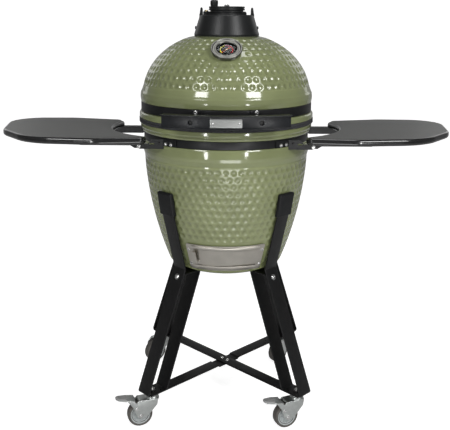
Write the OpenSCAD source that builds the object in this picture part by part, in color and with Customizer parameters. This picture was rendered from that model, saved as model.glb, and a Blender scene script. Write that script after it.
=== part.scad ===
// Kamado ceramic grill with folding side shelves, vented lid and four-leg rolling stand.
// Millimetres, +Z up, floor at z 0, body axis on the origin, front towards -Y.

/* [Body] */
// Height of the joint between the two felt gaskets
seam_z = 897; // [880:1:915]
// Outer radius at the felt gaskets
seam_r = 266; // [255:1:275]
// Largest radius of the dimpled bowl
bowl_r = 250.5; // [240:0.5:252]
// Underside of the bowl
bowl_z = 445; // [440:1:450]
// Wall of the bowl
bowl_wall = 26; // [22:1:30]
// Wall of the dome
dome_wall = 22; // [18:1:24]

/* [Lid opening] */
// Distance of the hinge pin behind the body axis
hinge_y = 305; // [300:1:315]
// Radius of the hinge pin
hinge_pin_r = 5; // [4:0.5:6]

/* [Handle] */
// Plan radius of the handle's front face
handle_R = 500; // [400:10:600]
// Distance of the handle's front face ahead of the axis
handle_front = 318; // [300:1:330]
// Half angle of the handle arc
handle_half = 21.1; // [15:0.1:25]

/* [Vent] */
// Radius of the rotating damper wheel
daisy_r = 54.5; // [48:0.5:58]
// Distance of the slide pivot from the vent axis
slide_pivot = 62; // [60:0.5:64]

/* [Thermometer] */
// Outer radius of the thermometer bezel
bezel_r = 44.5; // [38:0.5:46]
// Radius of the dial
dial_r = 27.5; // [22:0.5:27.5]

/* [Draft door] */
// Half angle of the draft frame
frame_half = 33.4; // [28:0.1:35]

/* [Shelves] */
// Height of the shelf tops
shelf_top = 865; // [860:1:870]
// Thickness of the shelves
shelf_t = 20; // [15:1:20]
// Distance of the shelf fold axis from the body axis
fold_x = 250; // [250:0.5:252]
// Height of the shelf fold axis
fold_z = 838; // [836:0.5:838]

/* [Stand] */
// Width of the leg strip
leg_w = 50; // [40:1:55]
// Thickness of the stand's flat steel
strip_t = 4; // [3:0.5:5]
// Distance of the casters' swivel axes from the body axis
caster_d = 306; // [300:1:312]
// Radius of the caster wheels
wheel_r = 37.5; // [35:0.5:38]

/* [Hidden] */
$fn = 48;

handle_cy = handle_R - handle_front;
gasket_gap = 0.05;
run = 0.05;

function bowl(z) = bowl_r * pow(1 - pow((800 - z) / 558, 1.65), 1 / 1.65);
function dome(z) = 256 * pow(1 - pow((z - 960) / 200, 2.15), 1 / 2.15);
function dome_in(z) = (256 - dome_wall) * pow(1 - pow((z - 960) / (200 - dome_wall), 2.15), 1 / 2.15);

// azimuth a is measured from the front, positive towards +X
module radial(a, r, z) rotate([0, 0, a]) translate([0, -r, z]) rotate([90, 0, 0]) children();
module sector(a0, a1) rotate([0, 0, a0 - 90]) rotate_extrude(angle = a1 - a0, $fn = 96) children();
module ring(r0, r1, z0, z1) rotate_extrude($fn = 96) translate([r0, z0]) square([r1 - r0, z1 - z0]);
module block(r0, r1, z0, z1) translate([r0, z0]) square([r1 - r0, z1 - z0]);

// ceramic body
module base_shell() color("olivedrab") difference() {
  rotate_extrude($fn = 96) polygon(concat(
    [[0, bowl_z], [150, bowl_z], [163, 448], [171, 453], [176, 460]],
    [for (z = [480 : 20 : 780]) [bowl(z), z]],
    [[249.5, 788], [255, 806], [255, 838], [249, 839], [249, 862], [256, 864], [257, 868], [256, 872], [259, 874], [262, 877], [262, 890], [228, 890], [226, 840]],
    [for (z = [780 : -20 : 480]) [bowl(z) - bowl_wall, z]],
    [[140, 472], [0, 472]]));
  sector(-24, 24) block(140, 240, 482, 534);
  for (a = [-31.5, 31.5], z = [484, 530]) radial(a, 176, z) cylinder(r = 2.05, h = 40);
}

module fire_bowl() color("wheat") difference() {
  rotate_extrude($fn = 96) polygon([[112, 472.2], [132, 472.2], [150, 500], [172, 560], [188, 620], [200, 690], [206, 730], [186, 730], [180, 690], [168, 620], [155, 570], [148, 560], [124, 560], [118, 540]]);
  rotate([0, 0, -90]) translate([80, -55, 470]) cube([90, 110, 62]);
  for (a = [30 : 60 : 330]) radial(a, 150, 600) cylinder(r = 9, h = 60);
}

module fire_ring() color("wheat")
  rotate_extrude($fn = 96) polygon([[186, 730.2], [206, 730.2], [214, 790], [214, 866], [196, 866], [194, 790]]);

module charcoal_grate() color("dimgray") difference() {
  translate([0, 0, 560.2]) cylinder(r = 145, h = 8);
  for (i = [-3 : 3]) translate([i * 34 - 5, -(i % 2 == 0 ? 100 : 92) + abs(i) * 8, 559]) cube([10, 2 * ((i % 2 == 0 ? 100 : 92) - abs(i) * 8), 11]);
}

module cooking_grate() color("silver") {
  translate([0, 0, 870.1]) {
    rotate_extrude($fn = 96) translate([208, 0]) circle(r = 4);
    for (i = [-8 : 8]) translate([i * 23, -sqrt(208 * 208 - i * i * 529), 0]) rotate([-90, 0, 0]) cylinder(r = 3, h = 2 * sqrt(208 * 208 - i * i * 529));
    for (s = [-1, 1]) translate([-sqrt(208 * 208 - 70 * 70), s * 70, 0]) rotate([0, 90, 0]) cylinder(r = 3.6, h = 2 * sqrt(208 * 208 - 70 * 70));
  }
}

module base_gasket() color("darkslategray") ring(228, seam_r, 890, seam_z - gasket_gap);
module lid_gasket() color("darkslategray") ring(232, seam_r, seam_z + gasket_gap, 904);

module lid_shell() color("olivedrab") difference() {
  rotate_extrude($fn = 96) polygon(concat(
    [[265, 904], [265, 921], [257, 923.5], [257, 951], [260, 953], [262, 966], [260.5, 980], [258, 985], [252, 1000]],
    [for (z = [1015 : 15 : 1135]) [dome(z), z]],
    [[118, 1141], [98, 1146], [75, 1146], [75, 1126]],
    [for (z = [1118 : -14 : 964]) [dome_in(z), z]],
    [[236, 950], [236, 925], [232, 904]]));
  thermo() translate([0, 0, -40]) cylinder(r = 5, h = 60);
}

// bands
module base_band() color("silver") difference() {
  ring(249.05, 252, 839, 862);
  for (s = [-1, 1], a = [37.5, 42.3]) radial(s * a, 240, 846) cylinder(r = 3.05, h = 20);
  for (s = [-1, 1], a = [47.5, 51.5]) radial(180 + s * a, 240, 850) cylinder(r = 3.05, h = 20);
}
module lid_band() color("silver") difference() {
  ring(257.05, 260, 924, 951);
  for (s = [-1, 1]) radial(s * 18.6, 250, 944) cylinder(r = 3.05, h = 20);
}

// handle
module hsector(a0, a1) translate([0, handle_cy, 0]) sector(a0, a1) children();
module lid_handle() color("black") difference() {
  hsector(-handle_half, handle_half) block(handle_R - 27, handle_R, 905, 943);
  hsector(-handle_half + 1.1, handle_half - 1.1) block(handle_R - 10, handle_R + 1, 908, 940);
  hsector(-handle_half + 0.5, handle_half - 0.5) block(handle_R - 28, handle_R - 16, 908, 940);
  for (s = [-1, 1]) translate([0, handle_cy, 0]) radial(s * 11.4, handle_R - 20, 923) cylinder(r = 6.5, h = 12);
  for (s = [-1, 1]) translate([0, handle_cy, 0]) radial(s * 4.1, handle_R - 20, 922) cylinder(r = 1.55, h = 12);
}
module name_plate() color("silver") difference() {
  hsector(-5.05, 5.05) block(handle_R - 9.95, handle_R - 8.5, 909, 935);
  for (s = [-1, 1]) translate([0, handle_cy, 0]) radial(s * 4.1, handle_R - 20, 922) cylinder(r = 1.55, h = 14);
}
module name_plate_rivets() color("silver")
  for (s = [-1, 1]) translate([0, handle_cy, 0]) {
    radial(s * 4.1, handle_R - 15.5, 922) cylinder(r = 1.5, h = 8);
    radial(s * 4.1, handle_R - 8.4, 922) cylinder(r1 = 3, r2 = 2, h = 1.6);
  }
module handle_brackets() color("black") for (s = [-1, 1]) difference() {
  union() {
    if (s > 0) sector(14.7, 21) block(260.05, 264, 925, 950); else sector(-21, -14.7) block(260.05, 264, 925, 950);
    intersection() {
      translate([s > 0 ? 66 : -93, -300, 0]) union() {
        translate([0, 0, 928]) cube([27, 52, 5]);
        translate([0, 0, 912]) cube([27, 12, 21]);
      }
      translate([0, handle_cy, 900]) cylinder(r = handle_R - 16.05, h = 60, $fn = 96);
    }
  }
  translate([0, 0, 900]) cylinder(r = 260.05, h = 60, $fn = 96);
  radial(s * 18.6, 250, 944) cylinder(r = 3.05, h = 20);
}
module handle_bolts() color("silver") for (s = [-1, 1]) {
  radial(s * 18.6, 257.3, 944) cylinder(r = 3, h = 7);
  radial(s * 18.6, 264.05, 944) cylinder(r = 5.2, h = 3.5, $fn = 6);
}

// rear hinge
module yz(x0, x1) translate([x0, 0, 0]) rotate([90, 0, 90]) linear_extrude(height = x1 - x0) children();
module hinge_base_bracket() color("black") difference() {
  union() {
    sector(162, 198) block(252.05, 256, 840, 861);
    for (x = [-64, 60]) yz(x, x + 4) {
      polygon([[248, 840], [248, 861], [268, 866], [296, 896], [312, 886], [276, 842]]);
      translate([hinge_y, seam_z]) circle(r = 13);
    }
  }
  translate([0, 0, 830]) cylinder(r = 252.05, h = 40, $fn = 96);
  translate([-80, hinge_y, seam_z]) rotate([0, 90, 0]) cylinder(r = hinge_pin_r + run, h = 160);
}
module hinge_lid_bracket() color("black") difference() {
  union() {
    sector(164, 196) block(260.05, 264, 925, 950);
    for (x = [-59.5, 55.5]) yz(x, x + 4) {
      polygon([[258, 926], [258, 949], [286, 936], [316, 902], [296, 890]]);
      translate([hinge_y, seam_z]) circle(r = 13);
    }
  }
  translate([0, 0, 920]) cylinder(r = 260.05, h = 40, $fn = 96);
  translate([-80, hinge_y, seam_z]) rotate([0, 90, 0]) cylinder(r = hinge_pin_r + run, h = 160);
}
module hinge_pin() color("silver") translate([0, hinge_y, seam_z]) rotate([0, 90, 0]) {
  translate([0, 0, -68]) cylinder(r = hinge_pin_r, h = 136);
  for (z = [-68.5, 64.3]) translate([0, 0, z]) cylinder(r = 8, h = 4.2, $fn = 6);
}
module hinge_springs() color("dimgray") for (x = [-52, 4])
  translate([x, hinge_y, seam_z]) rotate([0, 90, 0]) rotate_extrude($fn = 48) union() {
    translate([7.6, 0]) square([2.8, 48]);
    for (i = [0 : 11]) translate([9, 2 + 4 * i]) circle(r = 2);
  }

// top vent
module pies(r0, r1, z0, z1, first) for (i = [0 : 4]) rotate([0, 0, first + 72 * i - 14]) rotate_extrude(angle = 28) block(r0, r1, z0, z1);
module vent_gasket() color("black") ring(77, 96, 1146.05, 1147.5);
module vent_housing() color("black") difference() {
  union() {
    rotate_extrude($fn = 96) polygon([[98, 1147.5], [98, 1152], [81, 1208], [40, 1208], [40, 1204], [78.5, 1204], [93.5, 1152], [77, 1151], [77, 1147.5]]);
    for (m = [0, 1]) mirror([m, 0, 0]) xz(-8, 8) polygon([[71.5, 1205], [81.5, 1205], [79.4, 1228], [78.2, 1231], [74.6, 1231], [72.6, 1227]]);
  }
  translate([-slide_pivot, 0, 1200]) cylinder(r = 3.05, h = 20);
  translate([-120, 0, 1170.5]) rotate([0, 90, 0]) cylinder(r = 3.05, h = 240);
}
module vent_side_bolts() color("black") for (s = [-1, 1]) rotate([0, 0, s > 0 ? 0 : 180]) translate([0, 0, 1170.5]) rotate([0, 90, 0]) {
  translate([0, 0, 82]) cylinder(r = 3, h = 13.5);
  translate([0, 0, 94.1]) cylinder(r = 5, h = 3.2);
}
module vent_pivot_screw() color("silver") translate([-slide_pivot, 0, 0]) {
  translate([0, 0, 1200.5]) cylinder(r = 3, h = 20);
  translate([0, 0, 1219.1]) cylinder(r1 = 6, r2 = 4.5, h = 4.5);
}
module vent_slide_plate() color("black") difference() {
  union() {
    rotate_extrude($fn = 96) polygon([[3.55, 1208.4], [60, 1208.4], [60, 1216], [58, 1219], [50, 1219], [50, 1222], [3.55, 1222]]);
    translate([0, 0, 1208.4]) linear_extrude(height = 10.6) union() {
      translate([-slide_pivot, 0]) circle(r = 9);
      polygon([[-30, -28], [-66, -8], [-66, 8], [-30, 28]]);
    }
  }
  pies(15, 40, 1207, 1224, 36);
  translate([-slide_pivot, 0, 1200]) cylinder(r = 3 + run, h = 30);
}
module vent_center_screw() color("silver") {
  translate([0, 0, 1209]) cylinder(r = 3.5, h = 27);
  translate([0, 0, 1234.1]) cylinder(r = 8, h = 5.5, $fn = 6);
}
module vent_damper_wheel() color("black") difference() {
  rotate_extrude($fn = 96) polygon([[3.5 + run, 1222.1], [daisy_r, 1222.1], [daisy_r, 1226], [daisy_r - 1.6, 1227], [daisy_r - 1.6, 1228.5], [daisy_r, 1229.5], [daisy_r, 1232], [daisy_r - 2, 1234], [3.5 + run, 1234]]);
  pies(15, 40, 1221, 1236, 0);
}
module vent_knob() color("silver") translate([-38, 0, 0])
  rotate_extrude() polygon([[0, 1234], [6, 1234], [6, 1236], [11.7, 1237], [11.7, 1250], [10, 1252], [7, 1252], [7, 1254], [0, 1254]]);

// thermometer, local z along the outward normal of the dome
module thermo() translate([0, -180, 1109]) rotate([36.5, 0, 0]) children();
module thermometer_bezel() color("silver") thermo()
  rotate_extrude() polygon([[41, -1.2], [bezel_r, 8.5], [bezel_r - 0.4, 12], [dial_r + 3, 12], [dial_r + 0.5, 9], [dial_r + 0.5, 2.1], [6, 2.1], [6, 0.3], [38.5, 0.3], [38.5, -1.2]]);
module thermometer_dial() color("black") thermo() difference() {
  translate([0, 0, 2.2]) cylinder(r = dial_r, h = 2);
  translate([0, 0, 1]) cylinder(r = 1.5 + run, h = 4);
}
module thermometer_needle() color("orangered") thermo() rotate([0, 0, 225]) {
  translate([0, 0, 2.4]) cylinder(r = 1.5, h = 3.4);
  translate([0, 0, 4.8]) cylinder(r = 2.6, h = 1.2);
  translate([0, 0, 4.8]) linear_extrude(height = 0.8) polygon([[-11, -1.3], [-11, 1.3], [0, 1], [18, 0.4], [18, -0.4], [0, -1]]);
}
module thermometer_lens() color("lightblue") thermo() translate([0, 0, 7.2]) cylinder(r = dial_r + 0.45, h = 1.5);
module thermometer_probe() color("silver") thermo() {
  translate([0, 0, -31]) cylinder(r = 4.9, h = 31.3);
  translate([0, 0, -120]) cylinder(r = 2.5, h = 90);
  translate([0, 0, -29]) cylinder(r = 10, h = 5, $fn = 6);
}

// draft door
function rc(z) = 183.5 + (z - 466) / 3;
module skin(o0, o1, z0, z1) polygon([[rc(z0) + o0, z0], [rc(z0) + o1, z0], [rc(z1) + o1, z1], [rc(z1) + o0, z1]]);
module draft_frame() color("silver") difference() {
  union() {
    sector(-frame_half, frame_half) skin(0, 2, 467, 549);
    sector(-28, 28) union() { skin(1, 6, 538, 545); skin(4.4, 6, 534, 539); }
    sector(-28, 28) union() { skin(1, 6, 471, 478); skin(4.4, 6, 477, 482); }
  }
  sector(-24, 3) block(150, 260, 485, 531);
  for (a = [-31.5, 31.5], z = [484, 530]) radial(a, 176, z) cylinder(r = 2.05, h = 40);
}
module draft_screws() color("silver") for (a = [-31.5, 31.5], z = [484, 530]) {
  radial(a, rc(z) - 12, z) cylinder(r = 2, h = 16);
  radial(a, rc(z) + 3.6, z) cylinder(r = 4.2, h = 2.4);
}
module draft_door() color("silver") {
  sector(-27, 6.5) skin(2.4, 4, 479, 537);
  sector(-27, -24.6) skin(3.9, 16, 490, 526);
}

// side shelves
shelf_arcs = [[600, 110, 102], [560, 0, 125], [480, -40, 165], [370, -119, 100], [249, -183, 20], [365, 155, 22], [520, 115, 100]];
function pick(a) = let (s = [for (c = shelf_arcs) c[0] * cos(a) + c[1] * sin(a) + c[2]], m = max(s)) [for (i = [0 : len(s) - 1]) if (s[i] == m) shelf_arcs[i]][0];
module shelf_outline() difference() {
  polygon([for (a = [0 : 5 : 355]) let (c = pick(a)) [c[0] + c[2] * cos(a), c[1] + c[2] * sin(a)]]);
  translate([120, 36]) circle(r = 232, $fn = 96);
}
module shelf() difference() {
  translate([0, 0, shelf_top - shelf_t]) linear_extrude(height = shelf_t) shelf_outline();
  for (y = [-166, 163], x = [285, 345]) translate([x, y, shelf_top - shelf_t - 1]) cylinder(r = 1.8, h = 11);
}
module xz(y0, y1) translate([0, y1, 0]) rotate([90, 0, 0]) linear_extrude(height = y1 - y0) children();
module swing_arm(y0, yf, low) union() {
  xz(y0, y0 + 4) difference() {
    union() {
      translate([fold_x, fold_z]) circle(r = 6.5);
      polygon([[fold_x, 831.5], [fold_x + 12, 831.5], [fold_x + 24, low], [417, low], [425, low + 3], [425, 845], [fold_x + 6, 845], [fold_x, 844.5]]);
    }
    translate([fold_x, fold_z]) circle(r = 4 + run);
  }
  difference() {
    translate([262, yf, 842]) cube([158, 24, 3]);
    for (x = [285, 345]) translate([x, yf + 12.9, 830]) cylinder(r = 1.8, h = 20);
  }
}
module shelf_arms() { swing_arm(-178.9, -178.9, 839); swing_arm(150.1, 150.1, 823); }
module left_shelf() color("black") mirror([1, 0, 0]) shelf();
module right_shelf() color("black") shelf();
module left_shelf_arms() color("dimgray") mirror([1, 0, 0]) shelf_arms();
module right_shelf_arms() color("dimgray") shelf_arms();

module fixed_arm(y0) xz(y0, y0 + 4) difference() {
  union() {
    polygon([[168, 839.5], [168, 858], [211, 858], [225, 844.5], [fold_x, 844.5], [fold_x, 831.5], [246, 830], [178, 830], [178, 838.5], [172, 839.5]]);
    translate([fold_x, fold_z]) circle(r = 6.5);
  }
  translate([fold_x, fold_z]) circle(r = 4 + run);
  translate([205, 842.5]) square([14, 4.5]);
  translate([191, 849]) circle(r = 2.5);
}
module one_bracket_pair() difference() {
  union() {
    fixed_arm(-183);
    fixed_arm(146);
    sector(33.5, 45.2) block(252.05, 256, 840, 858);
    sector(125, 136) block(252.05, 256, 840, 858);
  }
  translate([0, 0, 820]) cylinder(r = 252.05, h = 45, $fn = 96);
  translate([0, 0, 820]) cylinder(r = 255.4, h = 18.6, $fn = 96);
  for (a = [37.5, 42.3]) radial(a, 240, 846) cylinder(r = 3.05, h = 30);
  for (a = [128.5, 132.5]) radial(a, 240, 850) cylinder(r = 3.05, h = 30);
}
module shelf_brackets() color("black") { one_bracket_pair(); mirror([1, 0, 0]) one_bracket_pair(); }
module shelf_bracket_bolts() color("silver") for (s = [-1, 1]) {
  for (a = [37.5, 42.3]) { radial(s * a, 249.2, 846) cylinder(r = 3, h = 7.2); radial(s * a, 256.05, 846) cylinder(r = 4.6, h = 3.2); }
  for (a = [128.5, 132.5]) { radial(s * a, 249.2, 850) cylinder(r = 3, h = 7.2); radial(s * a, 256.05, 850) cylinder(r = 4.6, h = 3.2); }
}
module shelf_pivot_pins() color("silver") for (s = [-1, 1], y = [[-186.5, 14.5], [142.5, 14.5]]) translate([s * fold_x, y[0], fold_z]) rotate([-90, 0, 0]) {
  cylinder(r = 4, h = y[1]);
  cylinder(r = 6.3, h = 3.4);
  translate([0, 0, 11.7]) cylinder(r = 6.3, h = 3);
}

// stand, d along the diagonal
module diag(a) rotate([0, 0, a]) children();
function side(p, q) = let (u = (q - p) / norm(q - p)) [-u[1], u[0]];
function corner(p, i, s) = let (
    n1 = i > 0 ? side(p[i - 1], p[i]) : side(p[i], p[i + 1]),
    n2 = i < len(p) - 1 ? side(p[i], p[i + 1]) : n1)
  p[i] + s * (n1 + n2) / (1 + n1 * n2);
module bent(p) polygon(concat([for (i = [0 : len(p) - 1]) corner(p, i, strip_t / 2)], [for (i = [len(p) - 1 : -1 : 0]) corner(p, i, -strip_t / 2)]));
foot_z = 101.6;
leg_path = [[249.5, 696], [237, 632], [192, 459], [339, foot_z], [268, foot_z], [131, 442.9], [192.8, 442.9], [205.5, 412]];
module leg_profile() bent(leg_path);
module stand_legs() color("black") for (a = [-45, -135, 45, 135]) diag(a) difference() {
  rotate([90, 0, 0]) linear_extrude(height = leg_w, center = true) leg_profile();
  translate([caster_d, 0, 90]) cylinder(r = 6.1, h = 20);
  for (t = [-14, 14]) translate([caster_d - 18, t, 90]) cylinder(r = 3, h = 20);
  translate([202.7, 0, 433]) rotate([0, 67.7, 0]) translate([0, 0, -14]) cylinder(r = 3.1, h = 28);
}
module leg_pads() color("black") for (a = [-45, -135, 45, 135]) diag(a) difference() {
  rotate([90, 0, 0]) linear_extrude(height = 60, center = true) polygon([[bowl(632) + 1.2, 632], [bowl(700) + 1.2, 700], [bowl(700) + 15, 701], [bowl(632) + 15, 631]]);
  rotate([90, 0, 0]) linear_extrude(height = leg_w + 0.2, center = true) polygon([[249.8 - 2.2, 697.6], [249.8 + 2.2, 697.6], [237 + 2.2 - 12.5 * 0.2, 620], [237 - 2.2 - 12.5 * 0.2, 620]]);
}
module leg_bolts() color("silver") for (a = [-45, -135, 45, 135]) diag(a) translate([202.7, 0, 433]) rotate([0, 67.7, 0]) {
  translate([0, 0, -12]) cylinder(r = 3, h = 14.5);
  translate([0, 0, 2.1]) cylinder(r = 6.5, h = 4.5);
}
module brace_joggled() difference() {
  rotate([90, 0, 0]) linear_extrude(height = 40, center = true) polygon([[-326, 95.5], [-46, 95.5], [-42, 91.3], [42, 91.3], [46, 95.5], [326, 95.5], [326, 99.5], [44.3, 99.5], [40.3, 95.3], [-40.3, 95.3], [-44.3, 99.5], [-326, 99.5]]);
  for (s = [-1, 1]) translate([s * caster_d, 0, 80]) cylinder(r = 6.1, h = 30);
}
module brace_holes(r) rotate([0, 0, -45]) for (x = [-12.5, 12.5]) translate([x, 0, 80]) cylinder(r = r, h = 30);
module brace_upper() color("black") difference() { diag(-45) brace_flat(); brace_holes(3.1); }
module brace_flat() difference() {
  translate([-326, -20, 95.5]) cube([652, 40, 4]);
  for (s = [-1, 1]) translate([s * caster_d, 0, 80]) cylinder(r = 6.1, h = 30);
}
module brace_lower() color("black") difference() { diag(45) brace_joggled(); brace_holes(3.1); }
module brace_screws() color("silver") rotate([0, 0, -45]) for (x = [-12.5, 12.5]) translate([x, 0, 0]) {
  translate([0, 0, 86]) cylinder(r = 3, h = 14);
  translate([0, 0, 99.6]) cylinder(r = 6, h = 3);
  translate([0, 0, 86]) cylinder(r = 6, h = 5.1, $fn = 6);
}
module caster_stems() color("silver") for (a = [-45, -135, 45, 135]) diag(a) translate([caster_d, 0, 0]) {
  translate([0, 0, 77]) cylinder(r = 5, h = 15);
  translate([0, 0, 77]) cylinder(r = 8, h = 2.9);
  translate([0, 0, 90.7]) cylinder(r = 17, h = 4.7);
  translate([0, 0, 92]) cylinder(r = 6, h = 21);
  translate([0, 0, 103.7]) cylinder(r = 10, h = 6, $fn = 6);
}

// casters: s is the corner sign pair, t the trail direction in degrees
module caster(s, t) translate([s[0] * caster_d * sqrt(0.5), s[1] * caster_d * sqrt(0.5), 0]) rotate([0, 0, t]) children();
module fork() {
  difference() {
    union() {
      translate([0, 0, 80]) cylinder(r = 20, h = 5);
      translate([-4, -19, 80]) cube([44, 38, 5]);
      translate([0, 0, 84]) cylinder(r = 18, h = 6.6);
      for (y = [-18.5, 16]) xz(y, y + 2.5) union() {
        polygon([[-12, 84], [-8, 66], [24, 36], [48, 32], [60, 60], [58, 70], [40, 84]]);
        translate([38, wheel_r]) circle(r = 10);
      }
    }
    translate([0, 0, 70]) cylinder(r = 5 + run, h = 30);
    translate([38, -40, wheel_r]) rotate([-90, 0, 0]) cylinder(r = 4.1, h = 80);
    translate([50, -40, 60]) rotate([-90, 0, 0]) cylinder(r = 3 + run, h = 80);
  }
  translate([38, -24, wheel_r]) rotate([-90, 0, 0]) { cylinder(r = 4, h = 48); cylinder(r = 7, h = 5.3); translate([0, 0, 42.7]) cylinder(r = 7, h = 5.3); }
}
module wheel() translate([38, 0, wheel_r]) rotate([90, 0, 0]) rotate_extrude($fn = 96)
  polygon([[4.05, -14], [9, -14], [9, -9], [24, -8], [27, -11], [wheel_r - 3, -12.5], [wheel_r, -9.5], [wheel_r, 9.5], [wheel_r - 3, 12.5], [27, 11], [24, 8], [9, 9], [9, 14], [4.05, 14]]);
module pedal() {
  for (s = [0, 1]) mirror([0, s, 0]) {
    translate([50, 15.9, 60]) rotate([-90, 0, 0]) cylinder(r = 3, h = 4);
    xz(19, 21) union() { translate([50, 60]) circle(r = 6); polygon([[44, 60], [56, 60], [72, 84], [72, 88], [56, 86], [50, 78]]); }
  }
  xz(-21, 21) polygon([[54, 83], [106, 91], [106, 94], [54, 87]]);
}
FL = [-1, -1]; FR = [1, -1]; RL = [-1, 1]; RR = [1, 1];
module front_left_fork() color("silver") caster(FL, 197) fork();
module front_right_fork() color("silver") caster(FR, 203) fork();
module rear_left_fork() color("silver") caster(RL, 218) fork();
module rear_right_fork() color("silver") caster(RR, 222) fork();
module front_left_wheel() color("gray") caster(FL, 197) wheel();
module front_right_wheel() color("gray") caster(FR, 203) wheel();
module rear_left_wheel() color("gray") caster(RL, 218) wheel();
module rear_right_wheel() color("gray") caster(RR, 222) wheel();
module front_left_pedal() color("gray") caster(FL, 197) pedal();
module front_right_pedal() color("gray") caster(FR, 203) pedal();

base_shell();
fire_bowl();
fire_ring();
charcoal_grate();
cooking_grate();
base_gasket();
lid_shell();
lid_gasket();
base_band();
lid_band();
lid_handle();
handle_brackets();
handle_bolts();
name_plate();
name_plate_rivets();
hinge_base_bracket();
hinge_lid_bracket();
hinge_pin();
hinge_springs();
vent_gasket();
vent_housing();
vent_side_bolts();
vent_pivot_screw();
vent_slide_plate();
vent_center_screw();
vent_damper_wheel();
vent_knob();
thermometer_bezel();
thermometer_dial();
thermometer_needle();
thermometer_lens();
thermometer_probe();
draft_frame();
draft_screws();
draft_door();
shelf_brackets();
shelf_bracket_bolts();
shelf_pivot_pins();
left_shelf();
left_shelf_arms();
right_shelf();
right_shelf_arms();
stand_legs();
leg_pads();
leg_bolts();
brace_upper();
brace_lower();
brace_screws();
caster_stems();
front_left_fork();
front_left_wheel();
front_right_fork();
front_right_wheel();
rear_left_fork();
rear_left_wheel();
rear_right_fork();
rear_right_wheel();
front_left_pedal();
front_right_pedal();
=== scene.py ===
import math
import bpy
import bmesh
import numpy as np
from mathutils import Matrix, Vector, noise


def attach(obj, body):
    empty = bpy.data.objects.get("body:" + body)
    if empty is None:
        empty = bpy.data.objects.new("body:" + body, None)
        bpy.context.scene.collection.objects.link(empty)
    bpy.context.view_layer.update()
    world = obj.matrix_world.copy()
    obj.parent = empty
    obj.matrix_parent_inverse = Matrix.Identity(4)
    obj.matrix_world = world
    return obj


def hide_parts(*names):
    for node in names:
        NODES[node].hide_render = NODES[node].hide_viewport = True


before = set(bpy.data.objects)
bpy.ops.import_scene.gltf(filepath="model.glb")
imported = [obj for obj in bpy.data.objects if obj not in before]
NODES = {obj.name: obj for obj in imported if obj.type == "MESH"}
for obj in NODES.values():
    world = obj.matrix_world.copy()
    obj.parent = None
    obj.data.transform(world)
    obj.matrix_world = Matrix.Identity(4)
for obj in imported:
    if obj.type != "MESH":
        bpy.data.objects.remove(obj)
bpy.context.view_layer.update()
MM = 0.001
HEX = (0.0, 60.0, 120.0, 180.0, 240.0, 300.0)


# ---------------------------------------------------------------- materials
def mat(name, base, rough=0.4, metal=0.0, coat=0.0, var=0.12, vscale=30.0, bump=0.1, bscale=400.0, stretch=None, rvar=0.08, dark=None, coatr=0.05, spec=None, polar=False, bdist=0.0004, detail=6.0):
    m = bpy.data.materials.new(name)
    m.use_nodes = True
    nt = m.node_tree
    nt.nodes.clear()
    N, L = nt.nodes, nt.links
    out = N.new("ShaderNodeOutputMaterial")
    p = N.new("ShaderNodeBsdfPrincipled")
    L.new(p.outputs[0], out.inputs[0])
    tc = N.new("ShaderNodeTexCoord")
    co = tc.outputs["Object"]
    if polar:
        sep = N.new("ShaderNodeSeparateXYZ"); L.new(co, sep.inputs[0])
        at = N.new("ShaderNodeMath"); at.operation = "ARCTAN2"; L.new(sep.outputs[1], at.inputs[0]); L.new(sep.outputs[0], at.inputs[1])
        x2 = N.new("ShaderNodeVectorMath"); x2.operation = "MULTIPLY"; L.new(co, x2.inputs[0]); x2.inputs[1].default_value = (1, 1, 0)
        ln = N.new("ShaderNodeVectorMath"); ln.operation = "LENGTH"; L.new(x2.outputs[0], ln.inputs[0])
        sc = N.new("ShaderNodeMath"); sc.operation = "MULTIPLY"; L.new(at.outputs[0], sc.inputs[0]); sc.inputs[1].default_value = 0.01
        cb = N.new("ShaderNodeCombineXYZ"); L.new(ln.outputs["Value"], cb.inputs[0]); L.new(sc.outputs[0], cb.inputs[1]); L.new(sep.outputs[2], cb.inputs[2])
        co = cb.outputs[0]
    if stretch:
        mp = N.new("ShaderNodeMapping"); L.new(co, mp.inputs[0]); mp.inputs["Scale"].default_value = stretch
        fine = mp.outputs[0]
    else:
        fine = co
    n1 = N.new("ShaderNodeTexNoise"); L.new(co, n1.inputs["Vector"]); n1.inputs["Scale"].default_value = vscale; n1.inputs["Detail"].default_value = 5.0
    n2 = N.new("ShaderNodeTexNoise"); L.new(fine, n2.inputs["Vector"]); n2.inputs["Scale"].default_value = bscale; n2.inputs["Detail"].default_value = detail
    mix = N.new("ShaderNodeMixRGB"); mix.blend_type = "MIX"
    lo = dark if dark else tuple(c * (1 - var) for c in base[:3])
    mix.inputs[1].default_value = (*lo, 1); mix.inputs[2].default_value = (*[min(1.0, c * (1 + var)) for c in base[:3]], 1)
    ramp = N.new("ShaderNodeMapRange"); L.new(n1.outputs[0], ramp.inputs[0]); ramp.inputs[1].default_value = 0.35; ramp.inputs[2].default_value = 0.65
    L.new(ramp.outputs[0], mix.inputs[0]); L.new(mix.outputs[0], p.inputs["Base Color"])
    rr = N.new("ShaderNodeMapRange"); L.new(n2.outputs[0], rr.inputs[0]); rr.inputs[1].default_value = 0.3; rr.inputs[2].default_value = 0.7
    rr.inputs[3].default_value = max(0.02, rough - rvar); rr.inputs[4].default_value = min(1.0, rough + rvar)
    L.new(rr.outputs[0], p.inputs["Roughness"])
    b = N.new("ShaderNodeBump"); b.inputs["Strength"].default_value = bump; b.inputs["Distance"].default_value = bdist
    L.new(n2.outputs[0], b.inputs["Height"]); L.new(b.outputs[0], p.inputs["Normal"])
    p.inputs["Metallic"].default_value = metal
    p.inputs["Coat Weight"].default_value = coat
    p.inputs["Coat Roughness"].default_value = coatr
    if spec is not None:
        p.inputs["Specular IOR Level"].default_value = spec
    m["p"] = 1
    return m


def principled(m):
    return [n for n in m.node_tree.nodes if n.type == "BSDF_PRINCIPLED"][0]


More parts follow.
